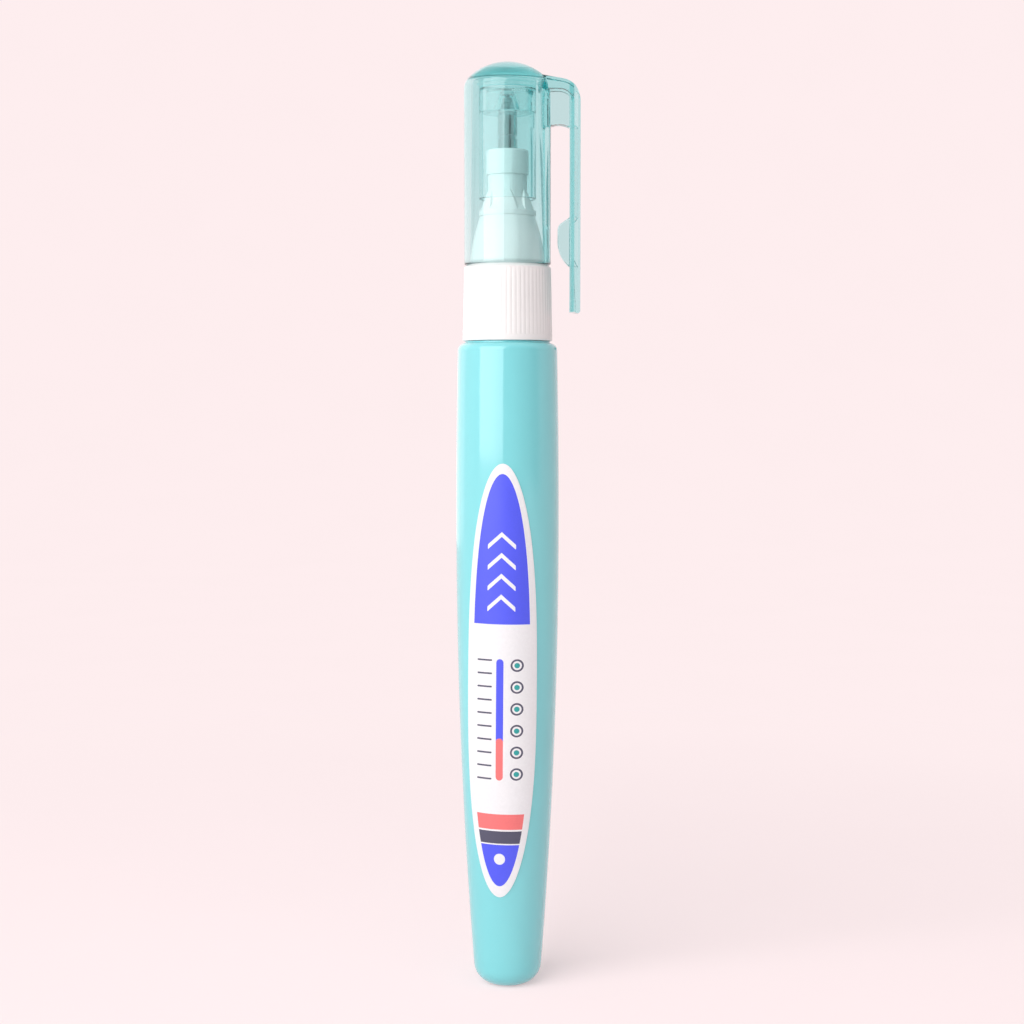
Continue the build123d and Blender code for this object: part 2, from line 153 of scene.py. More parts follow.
# Cap, seal and clip
CAP_MOUTH = 110.0
CAP_RADIUS = 6.55
CAP_BORE = 5.7
CAP_BORE_TOP = 5.2
CAP_TOP = 140.35
CROWN_RADIUS = 8.5
CROWN_ROUND = 2.5
CEILING = 137.35
SLEEVE_RADIUS = 4.31
SLEEVE_BORE = 3.26
SLEEVE_INNER = 3.86
SLEEVE_FOOT = 119.85
SLEEVE_GAP = 0.01
SEAL_FOOT = 132.75
SEAL_TOP = 136.45
SEAL_CEILING = 135.8
SEAL_PLAY = 0.02
SEAL_ROOM = 0.18
SEAL_MOUTH_ROOM = 0.21
CLIP_ROOT = 3.4
CLIP_ROOT_TOP = 138.48
CLIP_STEP = 5.7
CLIP_LIFT = 0.1
CLIP_WIDTH = 5.0
CLIP_RIDGE = 1.5
CLIP_CROWN = 1.0
CLIP_WEB = 2.4
CLIP_INNER = 9.35
CLIP_FACE = 10.0
CLIP_OUTER = 11.0
CLIP_FOOT = 102.75
CLIP_UNDERSIDE = 136.15
CLIP_CORNER_TOP = 137.15
WEB_ROOT = 6.1
WEB_FOOT = 130.55
WEB_LAP = 0.3
WEB_BOW = 0.45
BUMP_FACE = 7.55
BUMP_FOOT = 109.7
BUMP_FLAT = 113.25
BUMP_TOP = 115.35
BUMP_END = 117.1
BUMP_BOW = 0.42
# The clip's tint starts here, outside the cap's wall
CLIP_TINT_START = 7.0
CLIP_TINT_FULL = 7.4

# Stage, in metres
SWEEP_HALF = 1.8
SWEEP_FRONT = -1.6
SWEEP_BEND = 0.7
SWEEP_RADIUS = 0.4
SWEEP_TOP = 1.8
FLAG_LEFT = 0.2
FLAG_RIGHT = 0.4
FLAG_BEHIND = 0.5
FLAG_FOOT = 0.146
FLAG_TOP = 0.222
CAMERA_ASIDE = 0.00068
# Angles in the room: half widths of its dim part and doorway, and the doorway's place right of the camera
DIM_EDGE = radians(62)
DIM_FULL = radians(38)
DOOR_SIDE = radians(31)
DOOR_EDGE = radians(17)
DOOR_FULL = radians(9)


def linear(code):
    """Turns an sRGB hex colour into linear red, green, blue and alpha."""
    parts = [int(code[place:place + 2], 16) / 255 for place in (1, 3, 5)]
    return (*[part / 12.92 if part <= 0.04045 else ((part + 0.055) / 1.055) ** 2.4 for part in parts], 1.0)


def smoothstep(low, high, value):
    """Rises smoothly from 0 at low to 1 at high."""
    share = min(max((value - low) / (high - low), 0.0), 1.0)
    return share * share * (3 - 2 * share)


def add_node(tree, kind, settings=None, inputs=None, stops=()):
    """Adds a shader node with its settings; an input takes a value or a node's output, a ramp its stops."""
    node = tree.nodes.new(kind)
    for name, value in (settings or {}).items():
        setattr(node, name, value)
    for name, value in (inputs or {}).items():
        if isinstance(value, bpy.types.NodeSocket):
            tree.links.new(value, node.inputs[name])
        else:
            node.inputs[name].default_value = value
    for _ in stops[2:]:
        node.color_ramp.elements.new(0.5)
    for index, (position, colour) in enumerate(stops):
        node.color_ramp.elements[index].position = position
        node.color_ramp.elements[index].color = (*colour[:3], 1.0)
    return node


def darker(colour, share):
    """A colour with a share of its light."""
    return [part * share for part in colour[:3]]


def rounded(corners, steps=6):
    """Points of an outline of (x, z, round) corners, with an arc in place of each rounded one."""
    points = []
    for index, (x, z, size) in enumerate(corners):
        here = complex(x, z)
        if size == 0:
            points.append((x, z))
            continue
        before = complex(*corners[index - 1][:2]) - here
        after = complex(*corners[(index + 1) % len(corners)][:2]) - here
        before /= abs(before)
        after /= abs(after)
        half = abs(cmath.phase(after / before)) / 2
        middle = here + (before + after) / abs(before + after) * size / sin(half)
        start = here + before * size / tan(half) - middle
        end = here + after * size / tan(half) - middle
        turn = cmath.phase(end / start)
        for step in range(steps + 1):
            point = middle + start * cmath.exp(1j * turn * step / steps)
            points.append((point.real, point.imag))
    return points


def bowed(start, end, bow, steps):
    """Points after start on an arc to end, which leaves the straight line by bow to its right."""
    first, last = complex(*start), complex(*end)
    chord = last - first
    radius = (bow * bow + abs(chord) ** 2 / 4) / (2 * abs(bow))
    side = -1j if bow > 0 else 1j
    centre = (first + last) / 2 - side * chord / abs(chord) * (radius - abs(bow))
    turn = cmath.phase((last - centre) / (first - centre))
    arc = [centre + (first - centre) * cmath.exp(1j * turn * step / steps) for step in range(1, steps + 1)]
    return [(point.real, point.imag) for point in arc]


def new_piece(name, mesh):
    """Puts a finished bmesh into the scene as an object."""
    bmesh.ops.recalc_face_normals(mesh, faces=mesh.faces)
    data = bpy.data.meshes.new(name)
    mesh.to_mesh(data)
    mesh.free()
    piece = bpy.data.objects.new(name, data)
    bpy.context.scene.collection.objects.link(piece)
    return piece


def apply_modifiers(piece):
    """Replaces a piece's mesh by what its modifiers make of it."""
    bpy.context.view_layer.update()
    graph = bpy.context.evaluated_depsgraph_get()
    data = bpy.data.meshes.new_from_object(
        piece.evaluated_get(graph), preserve_all_data_layers=True, depsgraph=graph)
    piece.modifiers.clear()
    piece.data = data


def shade(piece, crease):
    """Smooth faces, edges sharp above the crease angle, and normals that keep flat faces flat."""
    piece.data.shade_smooth()
    piece.data.set_sharp_from_angle(angle=radians(crease))
    weighted = piece.modifiers.new("flat faces", "WEIGHTED_NORMAL")
    weighted.keep_sharp = True
    apply_modifiers(piece)


def spin(name, outline, segments, reshape=None):
    """Turns an outline of (radius, height) about the pen's axis; reshape may change a radius at an angle."""
    mesh = bmesh.new()
    rings = []
    for radius, height in outline:
        if radius < 1e-6:
            rings.append([mesh.verts.new((0, 0, height * MM))])
            continue
        ring = []
        for index in range(segments):
            angle = 2 * pi * index / segments
            reach = reshape(radius, height, angle) if reshape else radius
            ring.append(mesh.verts.new((reach * cos(angle) * MM, reach * sin(angle) * MM, height * MM)))
        rings.append(ring)
    for low, high in zip(rings, rings[1:] + rings[:1]):
        if len(low) == 1 and len(high) == 1:
            continue
        for index in range(segments):
            after = (index + 1) % segments
            corners = [
                low[index % len(low)], low[after % len(low)],
                high[after % len(high)], high[index % len(high)]]
            mesh.faces.new(list(dict.fromkeys(corners)))
    return new_piece(name, mesh)


def extruded(name, outline, width, bevel):
    """A closed (x, z) outline given a width on both sides of the clip's plane, with bevelled edges."""
    mesh = bmesh.new()
    corners = [mesh.verts.new((x * MM, -width / 2 * MM, z * MM)) for x, z in outline]
    side = mesh.faces.new(corners)
    grown = bmesh.ops.extrude_face_region(mesh, geom=[side])
    moved = [item for item in grown["geom"] if isinstance(item, bmesh.types.BMVert)]
    bmesh.ops.translate(mesh, verts=moved, vec=(0, width * MM, 0))
    piece = new_piece(name, mesh)
    edge = piece.modifiers.new("edge round", "BEVEL")
    edge.width = bevel * MM
    edge.segments = 3
    edge.limit_method = "ANGLE"
    edge.angle_limit = radians(40)
    apply_modifiers(piece)
    return piece


def upright(name, outline, foot, top):
    """A closed (x, y) outline given a height."""
    mesh = bmesh.new()
    corners = [mesh.verts.new((x * MM, y * MM, foot * MM)) for x, y in outline]
    side = mesh.faces.new(corners)
    grown = bmesh.ops.extrude_face_region(mesh, geom=[side])
    moved = [item for item in grown["geom"] if isinstance(item, bmesh.types.BMVert)]
    bmesh.ops.translate(mesh, verts=moved, vec=(0, 0, (top - foot) * MM))
    return new_piece(name, mesh)


def combine(piece, operation, *others):
    """Joins closed meshes into the first one, or cuts it to them, and removes the rest."""
    for other in others:
        join = piece.modifiers.new("join", "BOOLEAN")
        join.operation = operation
        join.solver = "EXACT"
        join.object = other
        apply_modifiers(piece)
        bpy.data.objects.remove(other)


def dress(piece, material):
    """Gives a piece one finish."""
    piece.data.materials.clear()
    piece.data.materials.append(material)


def keep_plan(piece):
    """Keeps each corner's place in the side view, in millimetres, so that colour set by place moves along."""
    plan = piece.data.uv_layers.new(name="mould_plan")
    for loop in piece.data.loops:
        place = piece.data.vertices[loop.vertex_index].co / MM
        plan.data[loop.index].uv = (place.x, place.z)


def side_radius(height):
    """Radius of the barrel's side at a height."""
    bow = SHOULDER_BOW if height > BELLY_Z else HEEL_BOW
    span = BARREL_HEIGHT - BELLY_Z if height > BELLY_Z else BELLY_Z
    arc = (bow * bow + span * span) / (2 * bow)
    return BELLY_RADIUS - arc + sqrt(arc * arc - (height - BELLY_Z) ** 2)


def thread_share(height, angle, foot, turns):
    """Height of the screw thread at a place, from 0 beside it to 1 on its crest."""
    best = 0.0
    for turn in range(ceil(turns) + 1):
        along = angle / (2 * pi) + turn
        if along > turns:
            continue
        off = abs(height - foot - THREAD_PITCH * along)
        ends = smoothstep(0.0, THREAD_FADE, along) * smoothstep(0.0, THREAD_FADE, turns - along)
        best = max(best, ends * min(max((THREAD_HALF_FOOT - off) / THREAD_FLANK, 0.0), 1.0))
    return best


def label_half_width(height):
    """Half the label's straight width at a height above or below its widest place."""
    reach = LABEL_TOP - LABEL_WIDEST if height > 0 else LABEL_WIDEST - LABEL_FOOT
    power = LABEL_UPPER_POWER if height > 0 else LABEL_LOWER_POWER
    return LABEL_HALF * sqrt(max(1 - (abs(height) / reach) ** power, 0.0))


def label_place(across, height, lift):
    """Where a point of the flat label lies on the barrel, lifted off its side."""
    level = LABEL_WIDEST + height * cos(LABEL_LEAN) + across * sin(LABEL_LEAN)
    aside = across * cos(LABEL_LEAN) - height * sin(LABEL_LEAN)
    radius = side_radius(level) + lift
    out = sqrt(radius * radius - aside * aside)
    x = aside * cos(LABEL_TURN) + out * sin(LABEL_TURN)
    y = aside * sin(LABEL_TURN) - out * cos(LABEL_TURN)
    return Vector((x, y, level)) * MM


def new_material(name):
    """An empty node material and its tree."""
    material = bpy.data.materials.new(name)
    material.use_nodes = True
    material.node_tree.nodes.clear()
    return material, material.node_tree


def teal_polypropylene(colour):
    """Polypropylene from a polished mould: even colour, a wet gloss that wavers, a fine parting line."""
    material, tree = new_material("Polypropylene, gloss moulded teal")
    place = add_node(tree, "ShaderNodeTexCoord").outputs["Object"]
    # Flow marks about 9 mm wide and 26 mm long show as a slight change of shade
    stretch = add_node(tree, "ShaderNodeMapping", inputs={"Vector": place, "Scale": (1.0, 1.0, 0.35)})
    flow = add_node(tree, "ShaderNodeTexNoise", inputs={
        "Vector": stretch.outputs[0], "Scale": 1 / (9 * MM), "Detail": 3.0, "Roughness": 0.45})
    tone = add_node(tree, "ShaderNodeValToRGB", inputs={"Fac": flow.outputs["Fac"]}, stops=[
        (0.3, darker(colour, 0.965)), (0.7, colour)])
    # Handling haze about 4 mm across
    haze = add_node(tree, "ShaderNodeTexNoise", inputs={
        "Vector": place, "Scale": 1 / (4 * MM), "Detail": 4.0, "Roughness": 0.6})
    gloss = add_node(tree, "ShaderNodeMapRange", inputs={
        "Value": haze.outputs["Fac"], "From Min": 0.35, "From Max": 0.7, "To Min": 0.1, "To Max": 0.15})
    # Mould skin, 0.6 mm grain, and the parting line at both sides, 0.12 mm wide
    skin = add_node(tree, "ShaderNodeTexNoise", inputs={
        "Vector": place, "Scale": 1 / (0.6 * MM), "Detail": 2.0, "Roughness": 0.5})
    axes = add_node(tree, "ShaderNodeSeparateXYZ", inputs={"Vector": place})
    off = add_node(tree, "ShaderNodeMath", {"operation": "ABSOLUTE"}, {0: axes.outputs["Y"]})
    line = add_node(tree, "ShaderNodeMapRange", {"interpolation_type": "SMOOTHSTEP"}, {
        "Value": off.outputs[0], "From Min": 0.0, "From Max": 0.06 * MM, "To Min": 1.0, "To Max": 0.0})
    skin_bump = add_node(tree, "ShaderNodeBump", inputs={
        "Strength": 0.06, "Distance": 0.02 * MM, "Height": skin.outputs["Fac"]})
    bump = add_node(tree, "ShaderNodeBump", inputs={
        "Strength": 0.5, "Distance": 0.02 * MM, "Height": line.outputs["Result"],
        "Normal": skin_bump.outputs["Normal"]})
    shader = add_node(tree, "ShaderNodeBsdfPrincipled", inputs={
        "Base Color": tone.outputs["Color"], "Roughness": gloss.outputs["Result"], "IOR": 1.49,
        "Coat Weight": 0.5, "Coat Roughness": 0.05, "Coat IOR": 1.5, "Normal": bump.outputs["Normal"]})
    add_node(tree, "ShaderNodeOutputMaterial", inputs={"Surface": shader.outputs["BSDF"]})
    return material


def white_plastic(name, colour, roughness):
    """Polypropylene or acetal, white, from a fine-ground mould: soft gloss with a faint grain."""
    material, tree = new_material(name)
    place = add_node(tree, "ShaderNodeTexCoord").outputs["Object"]
    cloud = add_node(tree, "ShaderNodeTexNoise", inputs={
        "Vector": place, "Scale": 1 / (5 * MM), "Detail": 3.0, "Roughness": 0.5})
    tone = add_node(tree, "ShaderNodeValToRGB", inputs={"Fac": cloud.outputs["Fac"]}, stops=[
        (0.3, darker(colour, 0.97)), (0.65, colour)])
    # The ground mould leaves a grain of about 0.15 mm
    grain = add_node(tree, "ShaderNodeTexNoise", inputs={
        "Vector": place, "Scale": 1 / (0.15 * MM), "Detail": 2.0, "Roughness": 0.55})
    gloss = add_node(tree, "ShaderNodeMapRange", inputs={
        "Value": grain.outputs["Fac"], "From Min": 0.3, "From Max": 0.7,
        "To Min": roughness - 0.03, "To Max": roughness + 0.04})
    bump = add_node(tree, "ShaderNodeBump", inputs={
        "Strength": 0.12, "Distance": 0.01 * MM, "Height": grain.outputs["Fac"]})
    shader = add_node(tree, "ShaderNodeBsdfPrincipled", inputs={
        "Base Color": tone.outputs["Color"], "Roughness": gloss.outputs["Result"], "IOR": 1.5,
        "Normal": bump.outputs["Normal"]})
    add_node(tree, "ShaderNodeOutputMaterial", inputs={"Surface": shader.outputs["BSDF"]})
    return material


def turned_metal(name, colour, pitch):
    """Nickel plate or steel on a turned or drawn part: bright metal with fine rings from the tool."""
    material, tree = new_material(name)
    place = add_node(tree, "ShaderNodeTexCoord").outputs["Object"]
    axes = add_node(tree, "ShaderNodeSeparateXYZ", inputs={"Vector": place})
    height = add_node(tree, "ShaderNodeCombineXYZ", inputs={"Z": axes.outputs["Z"]})
    rings = add_node(tree, "ShaderNodeTexNoise", {"noise_dimensions": "3D"}, {
        "Vector": height.outputs["Vector"], "Scale": 1 / (pitch * MM), "Detail": 2.0, "Roughness": 0.7})
    stain = add_node(tree, "ShaderNodeTexNoise", inputs={
        "Vector": place, "Scale": 1 / (1.5 * MM), "Detail": 3.0, "Roughness": 0.55})
    tone = add_node(tree, "ShaderNodeValToRGB", inputs={"Fac": stain.outputs["Fac"]}, stops=[
        (0.3, darker(colour, 0.88)), (0.65, colour)])
    gloss = add_node(tree, "ShaderNodeMapRange", inputs={
        "Value": rings.outputs["Fac"], "From Min": 0.3, "From Max": 0.7, "To Min": 0.1, "To Max": 0.22})
    bump = add_node(tree, "ShaderNodeBump", inputs={
        "Strength": 0.15, "Distance": 0.01 * MM, "Height": rings.outputs["Fac"]})
    shader = add_node(tree, "ShaderNodeBsdfPrincipled", inputs={
        "Base Color": tone.outputs["Color"], "Metallic": 1.0, "Roughness": gloss.outputs["Result"],
        "Normal": bump.outputs["Normal"]})
    add_node(tree, "ShaderNodeOutputMaterial", inputs={"Surface": shader.outputs["BSDF"]})
    return material


def clear_polystyrene(name, skin, tint, density):
    """Polystyrene, clear and tinted through: colour gathers where the wall is seen edge on; painted shade
    darkens the mouth's rim, a band at the crown's foot and the clip rib's edge, and the crown's top is
    painted pale as a painted highlight.
    """
    material, tree = new_material(name)
    place = add_node(tree, "ShaderNodeTexCoord").outputs["Object"]
    # Sink and flow in the wall, about 5 mm across, bend what is seen through it a little
    flow = add_node(tree, "ShaderNodeTexNoise", inputs={
        "Vector": place, "Scale": 1 / (5 * MM), "Detail": 2.0, "Roughness": 0.4})
    rub = add_node(tree, "ShaderNodeTexNoise", inputs={
        "Vector": place, "Scale": 1 / (1.2 * MM), "Detail": 4.0, "Roughness": 0.6})
    gloss = add_node(tree, "ShaderNodeMapRange", inputs={
        "Value": rub.outputs["Fac"], "From Min": 0.4, "From Max": 0.75, "To Min": 0.015, "To Max": 0.05})
    bump = add_node(tree, "ShaderNodeBump", inputs={
        "Strength": 0.08, "Distance": 0.03 * MM, "Height": flow.outputs["Fac"]})
    # The wall thins towards the mouth, so its colour does too; painted shade darkens the cut rim and the
    # crown's foot
    plan = add_node(tree, "ShaderNodeUVMap", {"uv_map": "mould_plan"})
    spot = add_node(tree, "ShaderNodeSeparateXYZ", inputs={"Vector": plan.outputs["UV"]})
    rise = add_node(tree, "ShaderNodeMapRange", inputs={
        "Value": spot.outputs["Y"], "From Min": CAP_MOUTH, "From Max": CAP_TOP})
    beyond = add_node(tree, "ShaderNodeMapRange", inputs={
        "Value": spot.outputs["X"], "From Min": CLIP_TINT_START, "From Max": CLIP_TINT_FULL, "To Max": 0.6})
    level = add_node(tree, "ShaderNodeMath", {"operation": "MAXIMUM"}, {
        0: rise.outputs["Result"], 1: beyond.outputs["Result"]})
    # Stops run from the mouth at 0 to the crown's top at 1, and the clip keeps the skin's own colour
    # Untinted: a painted highlight on the crown's top, and plain in the rib's ramp
    white = (1.0, 1.0, 1.0)
    # Painted shade: a dark line along the mouth's cut rim
    mouth_shade = darker(skin, 0.6)
    thin = [1 - (1 - part) * 0.7 for part in skin[:3]]
    rib_edge_shade = [part ** 3 for part in skin[:3]]
    # Painted shade: a dark band at the crown's foot
    foot = [part ** 5 for part in skin[:3]]
    wall = add_node(tree, "ShaderNodeValToRGB", inputs={"Fac": level.outputs[0]}, stops=[
        (0.0, mouth_shade), (0.023, thin), (0.165, thin), (0.5, skin),
        (0.912, skin), (0.924, foot), (0.937, foot), (0.957, white)])
    # Painted shade: a dark line down the narrow edge of the clip's rib
    out = add_node(tree, "ShaderNodeMapRange", inputs={
        "Value": spot.outputs["X"], "From Min": CLIP_INNER - 0.1, "From Max": CLIP_FACE})
    edge = add_node(tree, "ShaderNodeValToRGB", inputs={"Fac": out.outputs["Result"]}, stops=[
        (0.05, white), (0.15, rib_edge_shade), (0.75, rib_edge_shade), (0.98, white)])
    tone = add_node(tree, "ShaderNodeMix", {"data_type": "RGBA", "blend_type": "MULTIPLY"}, {
        0: 1.0, 6: wall.outputs["Color"], 7: edge.outputs["Color"]})
    shader = add_node(tree, "ShaderNodeBsdfPrincipled", inputs={
        "Base Color": tone.outputs[2], "Transmission Weight": 1.0, "IOR": 1.55,
        "Roughness": gloss.outputs["Result"], "Normal": bump.outputs["Normal"]})
    depth = add_node(tree, "ShaderNodeVolumeAbsorption", inputs={"Color": tint, "Density": density})
    add_node(tree, "ShaderNodeOutputMaterial", inputs={
        "Surface": shader.outputs["BSDF"], "Volume": depth.outputs["Volume"]})
    return material


def clear_elastomer(tint, density):
    """Soft elastomer, clear with a tint: what lies in it shows through, a little soft."""
    material, tree = new_material("Elastomer, moulded clear")
    place = add_node(tree, "ShaderNodeTexCoord").outputs["Object"]
    speck = add_node(tree, "ShaderNodeTexNoise", inputs={
        "Vector": place, "Scale": 1 / (0.8 * MM), "Detail": 3.0, "Roughness": 0.6})
    gloss = add_node(tree, "ShaderNodeMapRange", inputs={
        "Value": speck.outputs["Fac"], "From Min": 0.3, "From Max": 0.7, "To Min": 0.03, "To Max": 0.08})
    bump = add_node(tree, "ShaderNodeBump", inputs={
        "Strength": 0.05, "Distance": 0.02 * MM, "Height": speck.outputs["Fac"]})
    shader = add_node(tree, "ShaderNodeBsdfPrincipled", inputs={
        "Base Color": (1.0, 1.0, 1.0, 1.0), "Transmission Weight": 1.0, "IOR": 1.41,
        "Roughness": gloss.outputs["Result"], "Normal": bump.outputs["Normal"]})
    # Light from the lamps passes it and reaches the tip
    path = add_node(tree, "ShaderNodeLightPath")
    open_way = add_node(tree, "ShaderNodeBsdfTransparent", inputs={"Color": (1.0, 1.0, 1.0, 1.0)})
    surface = add_node(tree, "ShaderNodeMixShader", inputs={
        "Fac": path.outputs["Is Shadow Ray"], 1: shader.outputs["BSDF"], 2: open_way.outputs["BSDF"]})
    depth = add_node(tree, "ShaderNodeVolumeAbsorption", inputs={"Color": tint, "Density": density})
    add_node(tree, "ShaderNodeOutputMaterial", inputs={
        "Surface": surface.outputs["Shader"], "Volume": depth.outputs["Volume"]})
    return material


def grey_elastomer(colour):
    """Soft elastomer, moulded: opaque, with a dull skin and dust-sized specks."""
    material, tree = new_material("Elastomer, moulded grey")
    place = add_node(tree, "ShaderNodeTexCoord").outputs["Object"]
    speck = add_node(tree, "ShaderNodeTexNoise", inputs={
        "Vector": place, "Scale": 1 / (0.3 * MM), "Detail": 3.0, "Roughness": 0.6})
    tone = add_node(tree, "ShaderNodeValToRGB", inputs={"Fac": speck.outputs["Fac"]}, stops=[
        (0.25, darker(colour, 0.94)), (0.6, colour)])
    gloss = add_node(tree, "ShaderNodeMapRange", inputs={
        "Value": speck.outputs["Fac"], "From Min": 0.3, "From Max": 0.7, "To Min": 0.22, "To Max": 0.34})
    bump = add_node(tree, "ShaderNodeBump", inputs={
        "Strength": 0.15, "Distance": 0.02 * MM, "Height": speck.outputs["Fac"]})
    shader = add_node(tree, "ShaderNodeBsdfPrincipled", inputs={
        "Base Color": tone.outputs["Color"], "IOR": 1.41,
        "Roughness": gloss.outputs["Result"], "Normal": bump.outputs["Normal"]})
    add_node(tree, "ShaderNodeOutputMaterial", inputs={"Surface": shader.outputs["BSDF"]})
    return material


def printed_film(look):
    """Polypropylene film, gloss printed: flat inks on white under an even, soft gloss."""
    material, tree = new_material("Polypropylene film, gloss printed")
    plan = add_node(tree, "ShaderNodeUVMap", {"uv_map": "label_plan"})
    axes = add_node(tree, "ShaderNodeSeparateXYZ", inputs={"Vector": plan.outputs["UV"]})
    # Inside of the white border: the leaf outline drawn smaller
    border = look.label_border / MM
    inside = 0.0
    for reach, power in (
        (LABEL_TOP - LABEL_WIDEST - 1.7 * border, LABEL_UPPER_POWER),
        (LABEL_FOOT - LABEL_WIDEST + 1.9 * border, LABEL_LOWER_POWER),
    ):
        height = add_node(tree, "ShaderNodeMath", {"operation": "DIVIDE", "use_clamp": True}, {
            0: axes.outputs["Y"], 1: reach})
        height = add_node(tree, "ShaderNodeMath", {"operation": "POWER"}, {0: height.outputs[0], 1: power})
        inside = add_node(tree, "ShaderNodeMath", {"operation": "ADD"}, {
            0: height.outputs[0], 1: inside}).outputs[0]
    width = add_node(tree, "ShaderNodeMath", {"operation": "DIVIDE"}, {
        0: axes.outputs["X"], 1: LABEL_HALF - border})
    inside = add_node(tree, "ShaderNodeMath", {"operation": "MULTIPLY_ADD"}, {
        0: width.outputs[0], 1: width.outputs[0], 2: inside})
    inside = add_node(tree, "ShaderNodeMath", {"operation": "LESS_THAN"}, {0: inside.outputs[0], 1: 1.0})
    # Each print: ink, middle, half size and corner in mm, fold of its arms, pitch and count of a row of them
    prints = [
        (look.label_blue, (0, 23.1), (8, 12), 0.02, 0, 80, 1),
        (look.label_white, (0, 19.9), (2.1, 0.36), 0.1, 0.9, 3.1, 4),
        (look.label_grey, (-2.45, -3.3), (1.15, 0.13), 0.1, 0, 2.0, 10),
        (look.label_grey, (-2.95, -2.3), (0.65, 0.1), 0.08, 0, 2.0, 9),
        (look.label_blue, (-0.1, -3.3), (0.55, 9.2), 0.55, 0, 80, 1),
        (look.label_coral, (-0.1, -9.3), (0.55, 3.2), 0.55, 0, 80, 1),
        (look.label_grey, (2.45, -3.3), (0.95, 0.95), 0.95, 0, 3.3, 6),
        (look.label_white, (2.45, -3.3), (0.68, 0.68), 0.68, 0, 3.3, 6),
        (look.label_teal, (2.45, -3.3), (0.4, 0.4), 0.4, 0, 3.3, 6),
        (look.label_coral, (0, -18.87), (8, 1.17), 0.02, 0, 80, 1),
        (look.label_grey, (0, -21.25), (8, 0.95), 0.02, 0, 80, 1),
        (look.label_blue, (0, -32.4), (8, 10), 0.02, 0, 80, 1),
        (look.label_white, (0, -24.6), (0.85, 0.85), 0.85, 0, 80, 1),
    ]
    ink = look.label_white
    for colour, middle, half, corner, fold, pitch, count in prints:
        place = add_node(tree, "ShaderNodeVectorMath", {"operation": "SUBTRACT"}, {
            0: plan.outputs["UV"], 1: (*middle, 0)})
        place = add_node(tree, "ShaderNodeSeparateXYZ", inputs={"Vector": place.outputs[0]})
        aside = add_node(tree, "ShaderNodeMath", {"operation": "ABSOLUTE"}, {0: place.outputs["X"]})
        up = add_node(tree, "ShaderNodeMath", {"operation": "MULTIPLY_ADD"}, {
            0: aside.outputs[0], 1: fold, 2: place.outputs["Y"]})
        row = add_node(tree, "ShaderNodeMath", {"operation": "ABSOLUTE"}, {0: up.outputs[0]})
        row = add_node(tree, "ShaderNodeMath", {"operation": "LESS_THAN"}, {
            0: row.outputs[0], 1: pitch * count / 2})
        up = add_node(tree, "ShaderNodeMath", {"operation": "ADD"}, {
            0: up.outputs[0], 1: pitch * (count - 1) / 2})
        up = add_node(tree, "ShaderNodeMath", {"operation": "WRAP"}, {
            0: up.outputs[0], 1: pitch / 2, 2: -pitch / 2})
        spot = add_node(tree, "ShaderNodeCombineXYZ", inputs={"X": aside.outputs[0], "Y": up.outputs[0]})
        spot = add_node(tree, "ShaderNodeVectorMath", {"operation": "ABSOLUTE"}, {0: spot.outputs[0]})
        spot = add_node(tree, "ShaderNodeVectorMath", {"operation": "SUBTRACT"}, {
            0: spot.outputs[0], 1: (half[0] - corner, half[1] - corner, 0)})
        spot = add_node(tree, "ShaderNodeVectorMath", {"operation": "MAXIMUM"}, {
            0: spot.outputs[0], 1: (0, 0, 0)})
        spot = add_node(tree, "ShaderNodeVectorMath", {"operation": "LENGTH"}, {0: spot.outputs[0]})
        share = add_node(tree, "ShaderNodeMath", {"operation": "LESS_THAN"}, {
            0: spot.outputs["Value"], 1: corner})
        for bound in (row, inside):
            share = add_node(tree, "ShaderNodeMath", {"operation": "MULTIPLY"}, {
                0: share.outputs[0], 1: bound.outputs[0]})
        ink = add_node(tree, "ShaderNodeMix", {"data_type": "RGBA"}, {
            0: share.outputs[0], 6: ink, 7: colour}).outputs[2]
    # Ink lies in a screen of about 0.2 mm, drawn twice as coarse so that it shows as a faint mottle
    place = add_node(tree, "ShaderNodeTexCoord").outputs["Object"]
    mottle = add_node(tree, "ShaderNodeTexNoise", inputs={
        "Vector": place, "Scale": 1 / (0.4 * MM), "Detail": 3.0, "Roughness": 0.6})
    worn = add_node(tree, "ShaderNodeMapRange", inputs={
        "Value": mottle.outputs["Fac"], "From Min": 0.3, "From Max": 0.7, "To Min": 0.96, "To Max": 1.0})
    tone = add_node(tree, "ShaderNodeHueSaturation", inputs={"Color": ink, "Value": worn.outputs["Result"]})
    gloss = add_node(tree, "ShaderNodeMapRange", inputs={
        "Value": mottle.outputs["Fac"], "From Min": 0.3, "From Max": 0.7, "To Min": 0.3, "To Max": 0.4})
    bump = add_node(tree, "ShaderNodeBump", inputs={
        "Strength": 0.1, "Distance": 0.01 * MM, "Height": mottle.outputs["Fac"]})
    shader = add_node(tree, "ShaderNodeBsdfPrincipled", inputs={
        "Base Color": tone.outputs["Color"], "Roughness": gloss.outputs["Result"], "IOR": 1.49,
        "Normal": bump.outputs["Normal"]})
    add_node(tree, "ShaderNodeOutputMaterial", inputs={"Surface": shader.outputs["BSDF"]})
    return material


